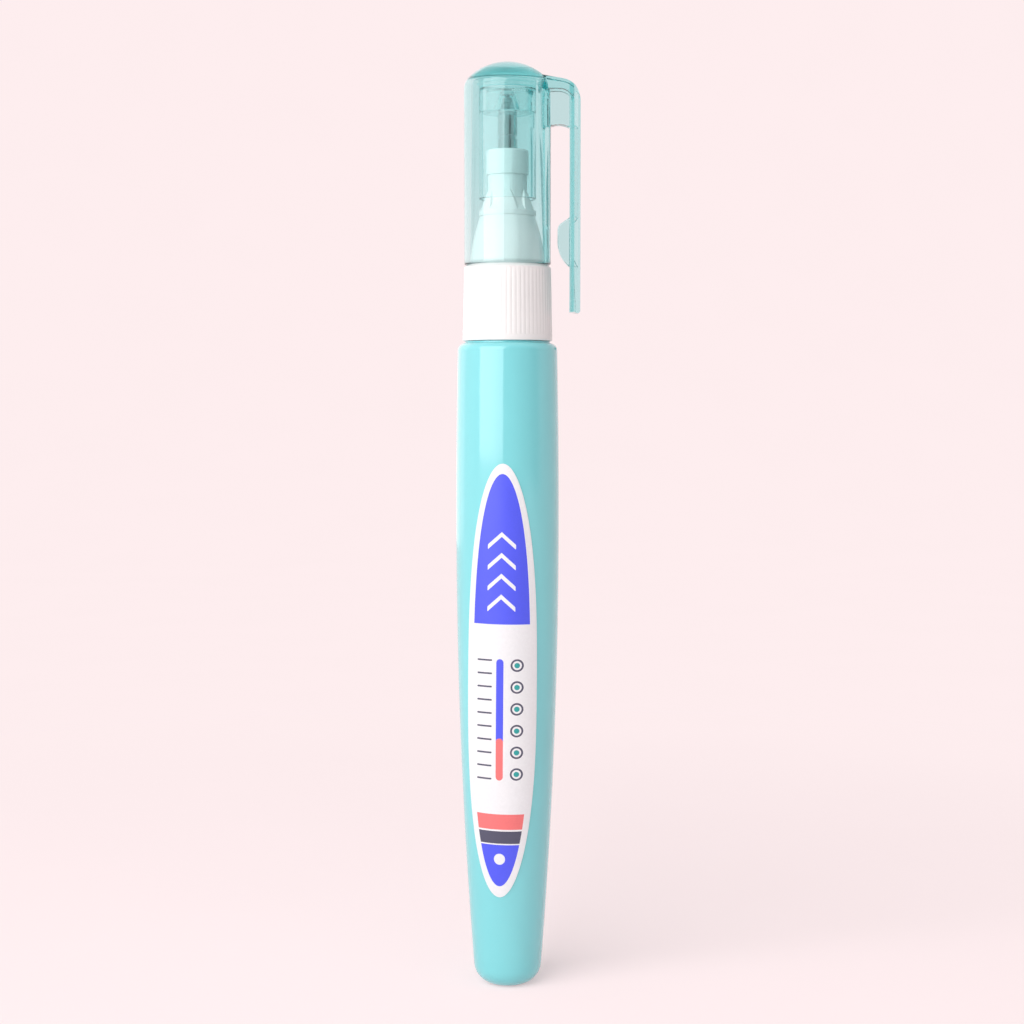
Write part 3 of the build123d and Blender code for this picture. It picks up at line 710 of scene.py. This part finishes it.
def painted_backdrop(colour, glow):
    """Painted studio sweep: matt; most of its colour holds, so that only the shadow darkens it."""
    material, tree = new_material("Studio sweep, matt painted")
    place = add_node(tree, "ShaderNodeTexCoord").outputs["Object"]
    roller = add_node(tree, "ShaderNodeTexNoise", inputs={
        "Vector": place, "Scale": 1 / (40 * MM), "Detail": 2.0, "Roughness": 0.4})
    tone = add_node(tree, "ShaderNodeValToRGB", inputs={"Fac": roller.outputs["Fac"]}, stops=[
        (0.3, darker(colour, 0.995)), (0.7, colour)])
    paint = add_node(tree, "ShaderNodeBsdfDiffuse", inputs={"Color": tone.outputs["Color"], "Roughness": 0.9})
    held = add_node(tree, "ShaderNodeEmission", inputs={"Color": tone.outputs["Color"], "Strength": 1.0})
    # The shadow lies within a hand's breadth of the pen, and further off the colour holds fully
    away = add_node(tree, "ShaderNodeVectorMath", {"operation": "LENGTH"}, {0: place})
    hold = add_node(tree, "ShaderNodeMapRange", {"interpolation_type": "SMOOTHSTEP"}, {
        "Value": away.outputs["Value"], "From Min": 40 * MM, "From Max": 260 * MM,
        "To Min": glow, "To Max": 1.0})
    path = add_node(tree, "ShaderNodeLightPath")
    seen = add_node(tree, "ShaderNodeMath", {"operation": "MAXIMUM"}, {
        0: path.outputs["Is Camera Ray"], 1: path.outputs["Is Glossy Ray"]})
    seen = add_node(tree, "ShaderNodeMath", {"operation": "MAXIMUM"}, {
        0: seen.outputs[0], 1: path.outputs["Is Transmission Ray"]})
    share = add_node(tree, "ShaderNodeMath", {"operation": "MULTIPLY"}, {
        0: seen.outputs[0], 1: hold.outputs["Result"]})
    mix = add_node(tree, "ShaderNodeMixShader", inputs={
        "Fac": share.outputs[0], 1: paint.outputs["BSDF"], 2: held.outputs["Emission"]})
    add_node(tree, "ShaderNodeOutputMaterial", inputs={"Surface": mix.outputs["Shader"]})
    return material


class PenLook(bpy.types.PropertyGroup):
    """Colours and small sizes of the pen that a user would change."""

    barrel_colour: bpy.props.FloatVectorProperty(
        name="Barrel", description="Colour of the barrel's plastic", subtype="COLOR", size=4,
        min=0, max=1, default=linear("#86DDE2"))
    nozzle_colour: bpy.props.FloatVectorProperty(
        name="Nozzle", description="Colour of the nozzle's plastic", subtype="COLOR", size=4,
        min=0, max=1, default=linear("#F3F2F1"))
    cap_tint: bpy.props.FloatVectorProperty(
        name="Cap tint", description="Colour that light keeps on its way through the cap",
        subtype="COLOR", size=4, min=0, max=1, default=linear("#59EBEC"))
    cap_skin: bpy.props.FloatVectorProperty(
        name="Cap skin", description="Colour that light keeps where it passes the cap's outer wall",
        subtype="COLOR", size=4, min=0, max=1, default=linear("#E5F8F8"))
    cap_density: bpy.props.FloatProperty(
        name="Cap depth", description="How fast the cap's tint takes hold, per metre of wall",
        default=130.0, min=0)
    label_white: bpy.props.FloatVectorProperty(
        name="Label ground", description="Colour of the label's film", subtype="COLOR", size=4,
        min=0, max=1, default=linear("#F2F3F5"))
    label_blue: bpy.props.FloatVectorProperty(
        name="Label field", description="Ink of the label's two end fields", subtype="COLOR", size=4,
        min=0, max=1, default=linear("#5560F6"))
    label_coral: bpy.props.FloatVectorProperty(
        name="Label upper band", description="Ink of the label's upper band", subtype="COLOR", size=4,
        min=0, max=1, default=linear("#F67C7C"))
    label_grey: bpy.props.FloatVectorProperty(
        name="Label lower band", description="Ink of the label's lower band and lines",
        subtype="COLOR", size=4, min=0, max=1, default=linear("#55556A"))
    label_teal: bpy.props.FloatVectorProperty(
        name="Label teal", description="Colour of the label's dots", subtype="COLOR", size=4, min=0, max=1,
        default=linear("#2FA6A4"))
    label_border: bpy.props.FloatProperty(
        name="Label border", description="Width of the label's plain edge",
        unit="LENGTH", default=0.9 * MM, min=0)
    knurl_count: bpy.props.IntProperty(
        name="Knurl grooves", description="Grooves round the nozzle's skirt", default=60, min=12)
    knurl_depth: bpy.props.FloatProperty(
        name="Knurl depth", description="Depth of one groove", unit="LENGTH", default=0.045 * MM, min=0)
    edge_round: bpy.props.FloatProperty(
        name="Clip edge", description="Round on the clip's edges", unit="LENGTH", default=0.18 * MM, min=0)


class PenStage(bpy.types.PropertyGroup):
    """Backdrop, lamps and camera."""

    sweep_colour: bpy.props.FloatVectorProperty(
        name="Backdrop", description="Colour of the floor and backdrop", subtype="COLOR", size=4,
        min=0, max=1, default=linear("#FEEEEF"))
    sweep_glow: bpy.props.FloatProperty(
        name="Backdrop hold", description="Share of the backdrop's colour that light doesn't change",
        subtype="FACTOR", default=0.47, min=0, max=1)
    flag_colour: bpy.props.FloatVectorProperty(
        name="Flag", description="Colour of the flag behind the pen on the right", subtype="COLOR", size=4,
        min=0, max=1, default=linear("#558F91"))
    key_power: bpy.props.FloatProperty(
        name="Softbox", description="Power of the large softbox on the left",
        unit="POWER", default=3.0, min=0)
    rim_power: bpy.props.FloatProperty(
        name="Rim lamp", description="Power of the lamp behind the pen on the left",
        unit="POWER", default=0.35, min=0)
    ambient: bpy.props.FloatProperty(
        name="Ambient", description="Strength of the even light from all round", default=0.5, min=0)
    room: bpy.props.FloatProperty(
        name="Room", description="How bright the room in front of the pen is in reflections",
        subtype="FACTOR", default=0.12, min=0, max=1)
    room_through: bpy.props.FloatProperty(
        name="Room through plastic", description="How bright the dim room is, seen through clear plastic",
        subtype="FACTOR", default=0.65, min=0, max=1)
    dim_side: bpy.props.FloatProperty(
        name="Dim side", description="Direction of the dim part of the room, to the right of the camera",
        unit="ROTATION", subtype="ANGLE", default=radians(24))
    distance: bpy.props.FloatProperty(
        name="Camera distance", description="From the pen's axis to the camera",
        unit="LENGTH", default=290.7 * MM)
    height: bpy.props.FloatProperty(
        name="Camera height", description="Above the floor", unit="LENGTH", default=89.64 * MM)
    pitch: bpy.props.FloatProperty(
        name="Camera pitch", description="Below level", subtype="ANGLE", default=radians(3.35))
    field: bpy.props.FloatProperty(
        name="Field of view", description="Across the whole picture", subtype="ANGLE", default=radians(30.0))


class PEN_OT_barrel(bpy.types.Operator):
    """Turns the barrel with its hollow and threaded neck"""

    bl_idname = "pen.barrel"
    bl_label = "Barrel"

    def execute(self, context):
        look = context.scene.pen_look
        sides = [(side_radius(level), level, 0) for level in range(5, 96, 2)]
        inner = [(side_radius(level) - BARREL_WALL, level, 0) for level in range(94, 5, -4)]
        neck = [(NECK_RADIUS, BARREL_HEIGHT + 0.9 + 0.1 * step, 0) for step in range(76)]
        outline = rounded([
            (0, 0, 0),
            (side_radius(0), 0, 3.2),
            *sides,
            (side_radius(BARREL_HEIGHT), BARREL_HEIGHT, 1.2),
            (SHOULDER_LAND, BARREL_HEIGHT - 0.006, 0),
            (SHOULDER_LAND, SHOULDER_LAND_TOP, 0.05),
            (NECK_RADIUS, SHOULDER_LAND_TOP, 0.3),
            *neck,
            (NECK_RADIUS, NECK_TOP, 0.25),
            (NECK_BORE, NECK_TOP, 0.2),
            (NECK_BORE, BARREL_HEIGHT - BARREL_WALL, 0.3),
            (side_radius(BARREL_HEIGHT) - BARREL_WALL, BARREL_HEIGHT - BARREL_WALL, 0.3),
            *inner,
            (side_radius(0) - BARREL_WALL, BARREL_WALL, 2.2),
            (0, BARREL_WALL, 0),
        ], steps=10)

        def threaded(radius, height, angle):
            if radius != NECK_RADIUS:
                return radius
            return radius + THREAD_HEIGHT * thread_share(height, angle, THREAD_FOOT, THREAD_TURNS)

        piece = spin("barrel_body", outline, 192, threaded)
        shade(piece, 40)
        dress(piece, teal_polypropylene(look.barrel_colour))
        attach(piece, "barrel")
        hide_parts("barrel")
        return {"FINISHED"}


class PEN_OT_label(bpy.types.Operator):
    """Lays the printed label on the barrel"""

    bl_idname = "pen.label"
    bl_label = "Label"

    def execute(self, context):
        look = context.scene.pen_look
        low, high = LABEL_FOOT - LABEL_WIDEST, LABEL_TOP - LABEL_WIDEST
        rows, columns = 120, 24
        mesh = bmesh.new()
        plan = mesh.loops.layers.uv.new("label_plan")
        flat = {}
        layers = []
        for lift in (LABEL_GAP, LABEL_GAP + LABEL_THICKNESS):
            grid = []
            for row in range(rows + 1):
                height = (low + high) / 2 - (high - low) / 2 * cos(pi * row / rows)
                half = label_half_width(height)
                count = 0 if row in (0, rows) else columns
                line = []
                for column in range(count + 1):
                    across = half * (2 * column / columns - 1) if count else 0.0
                    vertex = mesh.verts.new(label_place(across, height, lift))
                    flat[vertex] = (across, height)
                    line.append(vertex)
                grid.append(line)
            layers.append(grid)
        for grid in layers:
            for below, above in zip(grid, grid[1:]):
                for column in range(columns):
                    corners = [
                        below[min(column, len(below) - 1)], below[min(column + 1, len(below) - 1)],
                        above[min(column + 1, len(above) - 1)], above[min(column, len(above) - 1)]]
                    mesh.faces.new(list(dict.fromkeys(corners)))
        under, top = layers
        for row in range(rows):
            for end in (0, -1):
                mesh.faces.new((under[row][end], under[row + 1][end], top[row + 1][end], top[row][end]))
        for face in mesh.faces:
            for loop in face.loops:
                loop[plan].uv = flat[loop.vert]
        piece = new_piece("label_film", mesh)
        shade(piece, 40)
        dress(piece, printed_film(look))
        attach(piece, "barrel")
        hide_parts("label")
        return {"FINISHED"}


class PEN_OT_nozzle(bpy.types.Operator):
    """Turns the white nozzle with its knurled skirt, flare, ribbed cone and head"""

    bl_idname = "pen.nozzle"
    bl_label = "Nozzle"

    def execute(self, context):
        look = context.scene.pen_look
        grooves = look.knurl_count
        depth = look.knurl_depth / MM
        samples = 8
        skirt_fall = (SKIRT_FOOT_RADIUS - SKIRT_RADIUS) / (SKIRT_TOP - SKIRT_BEVEL - SKIRT_FOOT)

        def skirt(level):
            return SKIRT_FOOT_RADIUS - skirt_fall * (level - SKIRT_FOOT)

        run_in = [KNURL_FOOT + rise for rise in (-0.05, 0, 0.05, 0.12, KNURL_RUN_IN)]
        run_out = [KNURL_TOP - fall for fall in (KNURL_RUN_OUT, 0.2, 0.1, 0.04)]
        side_levels = [*run_in, 102.0, 105.0, 108.0, *run_out]
        cone = bowed((CONE_FOOT, RING_TOP), (WAIST_RADIUS, CONE_TOP), -CONE_BOW, 16)
        flare = bowed((LAND_RADIUS, LAND_TOP), (FLARE_END, FLARE_TOP), FLARE_BOW, 12)
        inside = [(SKIRT_BORE, NOZZLE_THREAD_TOP - 0.1 * step, 0) for step in range(52)]
        outline = rounded([
            (SKIRT_BORE, SKIRT_FOOT, 0.2),
            (SKIRT_FOOT_RADIUS, SKIRT_FOOT, 0.2),
            *[(skirt(level), level, 0) for level in side_levels],
            (SKIRT_RADIUS, SKIRT_TOP - SKIRT_BEVEL, 0.06),
            (SKIRT_RADIUS - SKIRT_BEVEL, SKIRT_TOP, 0.06),
            (LAND_RADIUS, SKIRT_TOP, 0.1),
            (LAND_RADIUS, LAND_TOP, 0),
            *[(radius, height, 0) for radius, height in flare[:-1]],
            (FLARE_END, FLARE_TOP, 0),
            (RING_RADIUS, FLARE_TOP, 0.05),
            (RING_RADIUS, RING_TOP, 0.12),
            (CONE_FOOT, RING_TOP, 0),
            *[(radius, height, 0) for radius, height in cone],
            (WAIST_RADIUS, HEAD_FOOT, 0),
            (HEAD_RADIUS, HEAD_FOOT, 0.06),
            (HEAD_RADIUS, NOZZLE_TOP, 0.42),
            (TIP_HOLE, NOZZLE_TOP, 0.12),
            (TIP_HOLE, FLUID_TOP, 0),
            (FLUID_TOP_RADIUS, FLUID_TOP, 0),
            (NECK_BORE, FLUID_WIDE, 0),
            (NECK_BORE, GASKET_SEAT, 0),
            (SKIRT_BORE, GASKET_SEAT, 0),
            *inside,
        ], steps=5)

        def cut(radius, height, angle):
            if abs(radius - skirt(height)) < 1e-6 and KNURL_FOOT <= height <= KNURL_TOP:
                place = (angle * grooves / (2 * pi) + 0.5) % 1 - 0.5
                off = abs(place) * 2 * pi * radius / grooves
                hollow = sqrt(max(KNURL_ROUND ** 2 - off * off, 0)) - (KNURL_ROUND - depth)
                start = smoothstep(KNURL_FOOT, KNURL_FOOT + KNURL_RUN_IN, height)
                ends = start * smoothstep(0, KNURL_RUN_OUT, KNURL_TOP - height)
                return radius - max(hollow, 0) * ends
            if RING_TOP < height < CONE_TOP and radius < CONE_FOOT:
                share = (height - RING_TOP) / (CONE_TOP - RING_TOP)
                straight = CONE_FOOT + (WAIST_RADIUS - CONE_FOOT) * share
                half = GUSSET_FOOT_HALF + (GUSSET_TOP_HALF - GUSSET_FOOT_HALF) * share
                turn = ((angle + pi / 2) * GUSSET_COUNT / (2 * pi) + 0.5) % 1 - 0.5
                off = abs(radius * sin(turn * 2 * pi / GUSSET_COUNT))
                line = 1 - smoothstep(0, GUSSET_LINE_HALF, abs(off - half - GUSSET_EDGE))
                raised = 1 - smoothstep(half - GUSSET_EDGE, half + GUSSET_EDGE, off)
                return radius + (straight - radius) * raised - GUSSET_LINE * line
            if radius == SKIRT_BORE and THREAD_FOOT < height < NOZZLE_THREAD_TOP:
                foot = THREAD_FOOT + NOZZLE_THREAD_LIFT
                return radius - THREAD_HEIGHT * thread_share(height, angle, foot, NOZZLE_THREAD_TURNS)
            return radius

        piece = spin("nozzle_body", outline, grooves * samples, cut)
        shade(piece, 32)
        dress(piece, white_plastic("Polypropylene, satin moulded white", look.nozzle_colour, 0.2))
        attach(piece, "nozzle")
        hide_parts("nozzle")
        return {"FINISHED"}


class PEN_OT_tip(bpy.types.Operator):
    """Turns the metal tip and finishes the valve and the other inner pieces"""

    bl_idname = "pen.tip"
    bl_label = "Tip and valve"

    def execute(self, context):
        outline = rounded([
            (TIP_BORE, TIP_FOOT, 0),
            (TIP_RADIUS + TIP_FLANGE, TIP_FOOT, 0.1),
            (TIP_RADIUS + TIP_FLANGE, TIP_FOOT + TIP_FLANGE_HEIGHT, 0.1),
            (TIP_RADIUS, TIP_FOOT + TIP_FLANGE_HEIGHT, 0),
            (TIP_RADIUS, TIP_GROOVE_FOOT, 0.05),
            (TIP_RADIUS - TIP_GROOVE_DEPTH, TIP_GROOVE_FOOT, 0.05),
            (TIP_RADIUS - TIP_GROOVE_DEPTH, TIP_GROOVE_TOP, 0.05),
            (TIP_RADIUS, TIP_GROOVE_TOP, 0.05),
            (TIP_RADIUS, TIP_CONE, 0.4),
            (TIP_NOSE_RADIUS, TIP_NOSE, 0.12),
            (PIN_HOLE, TIP_NOSE, 0.06),
            (PIN_HOLE, PIN_HOLE_FOOT, 0),
            (TIP_BORE, TIP_BORE_TOP, 0),
        ])
        nickel = turned_metal("Brass, turned and nickel plated", linear("#DCDFDF"), 0.12)
        piece = spin("tip_turned", outline, 96)
        shade(piece, 32)
        dress(piece, nickel)
        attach(piece, "nozzle")
        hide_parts("metal_tip")
        steel = turned_metal("Stainless steel, drawn and ground", linear("#B9BCBF"), 0.08)
        natural = white_plastic("Acetal, natural moulded", linear("#ECEBE4"), 0.3)
        rubber = grey_elastomer(linear("#CFCFCB"))
        finishes = {
            "valve_pin": steel, "valve_spring": steel, "agitator_ball": steel,
            "valve_plunger": natural, "spring_retainer": natural, "neck_gasket": rubber}
        for name, finish in finishes.items():
            dress(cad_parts[name], finish)
        return {"FINISHED"}


class PEN_OT_cap(bpy.types.Operator):
    """Makes the clear cap and its clip in one moulding, with the seal in its sleeve"""

    bl_idname = "pen.cap"
    bl_label = "Cap and clip"

    def execute(self, context):
        look = context.scene.pen_look
        round_middle = CAP_RADIUS - CROWN_ROUND
        dome_foot = CAP_TOP - CROWN_RADIUS
        round_height = dome_foot + sqrt((CROWN_RADIUS - CROWN_ROUND) ** 2 - round_middle ** 2)
        meet = atan2(round_middle, round_height - dome_foot)
        dome = [(CROWN_RADIUS * sin(meet * step / 12), dome_foot + CROWN_RADIUS * cos(meet * step / 12))
                for step in range(13)]
        turn = pi / 2 - meet
        edge = [(round_middle + CROWN_ROUND * sin(meet + turn * step / 12),
                 round_height + CROWN_ROUND * cos(meet + turn * step / 12)) for step in range(1, 13)]
        outline = rounded([
            *[(radius, height, 0) for radius, height in dome + edge],
            (CAP_RADIUS, CAP_MOUTH, 0.25),
            (CAP_BORE, CAP_MOUTH, 0.25),
            (CAP_BORE, LAND_TOP + 0.5, 0.3),
            (CAP_BORE_TOP, CEILING, 0.53),
            (0, CEILING, 0),
        ], steps=8)
        cap = spin("cap_and_clip", outline, 256)
        bevel = look.edge_round / MM
        plate = rounded([
            (CLIP_ROOT, CLIP_ROOT_TOP, 0),
            (CLIP_OUTER, CLIP_CORNER_TOP, 3.2),
            (CLIP_OUTER, CLIP_FOOT, 0.42),
            (CLIP_FACE, CLIP_FOOT, 0.42),
            (CLIP_FACE, CLIP_UNDERSIDE, 2.2),
            (CLIP_STEP, CLIP_UNDERSIDE, 0),
            (CLIP_STEP, CEILING + CLIP_LIFT, 0),
            (CLIP_ROOT, CEILING + CLIP_LIFT, 0),
        ], steps=8)
        ramp = bowed((CLIP_INNER, BUMP_FOOT), (BUMP_FACE, BUMP_FLAT), -BUMP_BOW, 10)
        arch = bowed((CLIP_INNER, WEB_FOOT), (WEB_ROOT, WEB_FOOT), WEB_BOW, 10)
        web = [
            (WEB_ROOT, CLIP_UNDERSIDE + WEB_LAP),
            (CLIP_FACE - 0.2, CLIP_UNDERSIDE + WEB_LAP),
            (CLIP_FACE - 0.2, BUMP_FOOT),
            (CLIP_INNER, BUMP_FOOT),
            *ramp,
            (BUMP_FACE, BUMP_TOP),
            (BUMP_FACE + 0.12, BUMP_TOP + 0.4),
            (BUMP_FACE + 0.42, BUMP_TOP + 0.8),
            (CLIP_INNER, BUMP_END),
            (CLIP_INNER, WEB_FOOT),
            *arch,
        ]
        arm = extruded("clip_plate", plate, CLIP_WIDTH, bevel)
        crown = rounded([
            (0, -CLIP_WIDTH, 0),
            (CLIP_OUTER - CLIP_CROWN, -CLIP_WIDTH / 2, 0.3),
            (CLIP_OUTER, -CLIP_RIDGE / 2, 0.3),
            (CLIP_OUTER, CLIP_RIDGE / 2, 0.3),
            (CLIP_OUTER - CLIP_CROWN, CLIP_WIDTH / 2, 0.3),
            (0, CLIP_WIDTH, 0),
        ], steps=8)
        combine(arm, "INTERSECT", upright("clip_crown", crown, CLIP_FOOT - 1, CAP_TOP + 1))
        taper = [
            (CLIP_INNER, -CLIP_WEB / 2),
            (CLIP_FACE - 0.01, -CLIP_WIDTH / 2 + 0.02),
            (CLIP_FACE + 0.3, -CLIP_WIDTH / 2 + 0.7),
            (CLIP_FACE + 0.3, CLIP_WIDTH / 2 - 0.7),
            (CLIP_FACE - 0.01, CLIP_WIDTH / 2 - 0.02),
            (CLIP_INNER, CLIP_WEB / 2),
        ]
        rib = upright("clip_rib", taper, CLIP_FOOT + 0.15, CLIP_UNDERSIDE + WEB_LAP)
        combine(cap, "UNION", arm, rib, extruded("clip_web", web, CLIP_WEB, bevel))
        shade(cap, 32)
        keep_plan(cap)
        dress(cap, clear_polystyrene(
            "Polystyrene, clear moulded teal", look.cap_skin, look.cap_tint, look.cap_density))
        # Clear plastic throws no shadow, so that light from the lamps reaches what is inside
        cap.visible_shadow = False
        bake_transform(cap)
        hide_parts("cap_shell", "pocket_clip")

        sleeve = spin("cap_sleeve", rounded([
            (0, CEILING - SLEEVE_GAP, 0),
            (SLEEVE_RADIUS, CEILING - SLEEVE_GAP, 0),
            (SLEEVE_RADIUS, SLEEVE_FOOT, 0.12),
            (SLEEVE_INNER, SLEEVE_FOOT, 0.12),
            (SLEEVE_INNER, SEAL_FOOT, 0.1),
            (SLEEVE_BORE, SEAL_FOOT, 0.05),
            (SLEEVE_BORE, SEAL_TOP, 0.6),
            (0, SEAL_TOP, 0),
        ], steps=8), 192)
        shade(sleeve, 32)
        keep_plan(sleeve)
        dress(sleeve, clear_polystyrene(
            "Polystyrene, clear moulded", linear("#F8FFFF"), look.cap_tint, look.cap_density / 3))
        sleeve.visible_shadow = False
        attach(sleeve, "cap")
        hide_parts("cap_shell")

        seal = spin("seal_plug", rounded([
            (SLEEVE_BORE - SEAL_PLAY, SEAL_FOOT, 0.1),
            (SLEEVE_BORE - SEAL_PLAY, SEAL_TOP - SEAL_PLAY, 0.6),
            (0, SEAL_TOP - SEAL_PLAY, 0),
            (0, SEAL_CEILING, 0),
            (TIP_NOSE_RADIUS, SEAL_CEILING, 0.1),
            (TIP_NOSE_RADIUS + SEAL_ROOM, TIP_NOSE + SEAL_ROOM, 0),
            (TIP_RADIUS + SEAL_ROOM, TIP_CONE + SEAL_ROOM, 0.3),
            (TIP_RADIUS + SEAL_MOUTH_ROOM, SEAL_FOOT, 0.05),
        ]), 128)
        shade(seal, 32)
        dress(seal, clear_elastomer(linear("#CDEFEE"), 40.0))
        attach(seal, "cap")
        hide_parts("cap_seal")
        return {"FINISHED"}


class PEN_OT_stage(bpy.types.Operator):
    """Sets the backdrop, the lamps and the camera"""

    bl_idname = "pen.stage"
    bl_label = "Stage"

    def execute(self, context):
        scene = context.scene
        stage = scene.pen_stage
        mesh = bmesh.new()
        sweep = [(SWEEP_FRONT, 0.0), (SWEEP_BEND, 0.0)]
        for step in range(1, 17):
            turn = pi / 32 * step
            sweep.append((SWEEP_BEND + SWEEP_RADIUS * sin(turn), SWEEP_RADIUS - SWEEP_RADIUS * cos(turn)))
        sweep.append((SWEEP_BEND + SWEEP_RADIUS, SWEEP_TOP))
        for side in (-SWEEP_HALF, SWEEP_HALF):
            for y, z in sweep:
                mesh.verts.new((side, y, z))
        mesh.verts.ensure_lookup_table()
        for index in range(len(sweep) - 1):
            left = index + len(sweep)
            mesh.faces.new([mesh.verts[place] for place in (index, index + 1, left + 1, left)])
        backdrop = new_piece("studio_sweep", mesh)
        backdrop.data.shade_smooth()
        dress(backdrop, painted_backdrop(stage.sweep_colour, stage.sweep_glow))

        # A grey-teal flag behind the pen on the right draws the dark edges of the clear cap
        mesh = bmesh.new()
        corners = [
            (FLAG_LEFT, FLAG_FOOT), (FLAG_RIGHT, FLAG_FOOT),
            (FLAG_RIGHT, FLAG_TOP), (FLAG_LEFT, FLAG_TOP)]
        mesh.faces.new([mesh.verts.new((x, FLAG_BEHIND, z)) for x, z in corners])
        flag = new_piece("flag_right", mesh)
        flag.visible_camera = False
        flag.visible_diffuse = False
        flag.visible_shadow = False
        dress(flag, painted_backdrop(stage.flag_colour, stage.sweep_glow))

        # Each lamp: name, place, what it points at, width, height and power
        lamps = [
            ("softbox_left", (-0.31, -0.405, 0.31), (0.0, 0.0, 0.1), 0.62, 0.52, stage.key_power),
            ("rim_left", (-0.29, 0.34, 0.22), (0.0, 0.0, 0.09), 0.5, 0.4, stage.rim_power),
        ]
        for name, place, target, width, height, power in lamps:
            lamp = bpy.data.lights.new(name, "AREA")
            lamp.shape = "RECTANGLE"
            lamp.size = width
            lamp.size_y = height
            lamp.energy = power
            holder = bpy.data.objects.new(name, lamp)
            holder.location = place
            holder.rotation_euler = (Vector(target) - Vector(place)).to_track_quat("-Z", "Y").to_euler()
            holder.visible_camera = False
            holder.visible_transmission = False
            scene.collection.objects.link(holder)

        world = bpy.data.worlds.new("studio")
        world.use_nodes = True
        tree = world.node_tree
        tree.nodes.clear()
        path = add_node(tree, "ShaderNodeLightPath")
        seen = add_node(tree, "ShaderNodeMath", {"operation": "MAXIMUM"}, {
            0: path.outputs["Is Camera Ray"], 1: path.outputs["Is Glossy Ray"]})
        seen = add_node(tree, "ShaderNodeMath", {"operation": "MAXIMUM"}, {
            0: seen.outputs[0], 1: path.outputs["Is Transmission Ray"]})
        # The room in front of the pen and to its right is dim, and gloss and clear plastic show it
        way = add_node(tree, "ShaderNodeTexCoord")
        toward = add_node(tree, "ShaderNodeVectorMath", {"operation": "DOT_PRODUCT"}, {
            0: way.outputs["Generated"], 1: (sin(stage.dim_side), -cos(stage.dim_side), 0.1)})
        room = add_node(tree, "ShaderNodeMapRange", {"interpolation_type": "SMOOTHSTEP"}, {
            "Value": toward.outputs["Value"], "From Min": cos(DIM_EDGE), "From Max": cos(DIM_FULL),
            "To Min": 1.0, "To Max": stage.room})
        # A doorway in it is darker still, and draws the line down the metal tip
        door = add_node(tree, "ShaderNodeVectorMath", {"operation": "DOT_PRODUCT"}, {
            0: way.outputs["Generated"], 1: (sin(DOOR_SIDE), -cos(DOOR_SIDE), 0.0)})
        beside = add_node(tree, "ShaderNodeMapRange", {"interpolation_type": "SMOOTHSTEP"}, {
            "Value": door.outputs["Value"], "From Min": cos(DOOR_EDGE), "From Max": cos(DOOR_FULL),
            "To Min": stage.room_through, "To Max": 0.0})
        through = add_node(tree, "ShaderNodeMath", {"operation": "MULTIPLY_ADD"}, {
            0: path.outputs["Is Transmission Ray"], 1: beside.outputs["Result"],
            2: path.outputs["Is Camera Ray"]})
        lit = add_node(tree, "ShaderNodeMath", {"operation": "MAXIMUM"}, {
            0: room.outputs["Result"], 1: through.outputs[0]})
        soft = add_node(tree, "ShaderNodeBackground", inputs={
            "Color": linear("#F8FAFB"), "Strength": stage.ambient})
        pale = add_node(tree, "ShaderNodeBackground", inputs={
            "Color": stage.sweep_colour, "Strength": lit.outputs[0]})
        mix = add_node(tree, "ShaderNodeMixShader", inputs={
            "Fac": seen.outputs[0], 1: soft.outputs["Background"], 2: pale.outputs["Background"]})
        add_node(tree, "ShaderNodeOutputWorld", inputs={"Surface": mix.outputs["Shader"]})
        scene.world = world

        lens = bpy.data.cameras.new("camera")
        lens.sensor_width = 36.0
        lens.lens = lens.sensor_width / 2 / tan(stage.field / 2)
        lens.clip_start = 0.01
        camera = bpy.data.objects.new("camera", lens)
        camera.location = (CAMERA_ASIDE, -stage.distance, stage.height)
        camera.rotation_euler = (pi / 2 - stage.pitch, 0, 0)
        scene.collection.objects.link(camera)
        scene.camera = camera
        # Light runs a long way round inside the clear cap before it comes out
        scene.cycles.max_bounces = 32
        scene.cycles.glossy_bounces = 24
        scene.cycles.transmission_bounces = 32
        scene.cycles.transparent_max_bounces = 32
        scene.view_settings.view_transform = "Standard"
        return {"FINISHED"}


class PEN_PT_panel(bpy.types.Panel):
    """Lists the pen's colours, sizes and steps"""

    bl_idname = "PEN_PT_panel"
    bl_label = "Correction Pen"
    bl_space_type = "VIEW_3D"
    bl_region_type = "UI"
    bl_category = "Pen"

    def draw(self, context):
        for group in (context.scene.pen_look, context.scene.pen_stage):
            box = self.layout.box()
            for name in group.__annotations__:
                box.prop(group, name)
        for step in STEPS:
            self.layout.operator(step.bl_idname)


GROUPS = (PenLook, PenStage)
STEPS = (PEN_OT_barrel, PEN_OT_label, PEN_OT_nozzle, PEN_OT_tip, PEN_OT_cap, PEN_OT_stage)


def register():
    """Makes the groups, steps and panel known to Blender."""
    for item in (*GROUPS, *STEPS, PEN_PT_panel):
        bpy.utils.register_class(item)
    bpy.types.Scene.pen_look = bpy.props.PointerProperty(type=PenLook)
    bpy.types.Scene.pen_stage = bpy.props.PointerProperty(type=PenStage)


def unregister():
    """Takes them away again."""
    del bpy.types.Scene.pen_stage
    del bpy.types.Scene.pen_look
    for item in (PEN_PT_panel, *reversed(STEPS), *reversed(GROUPS)):
        bpy.utils.unregister_class(item)


def main():
    """Runs every step in order."""
    register()
    bpy.ops.pen.barrel()
    bpy.ops.pen.label()
    bpy.ops.pen.nozzle()
    bpy.ops.pen.tip()
    bpy.ops.pen.cap()
    bpy.ops.pen.stage()


if __name__ == "__main__":
    main()
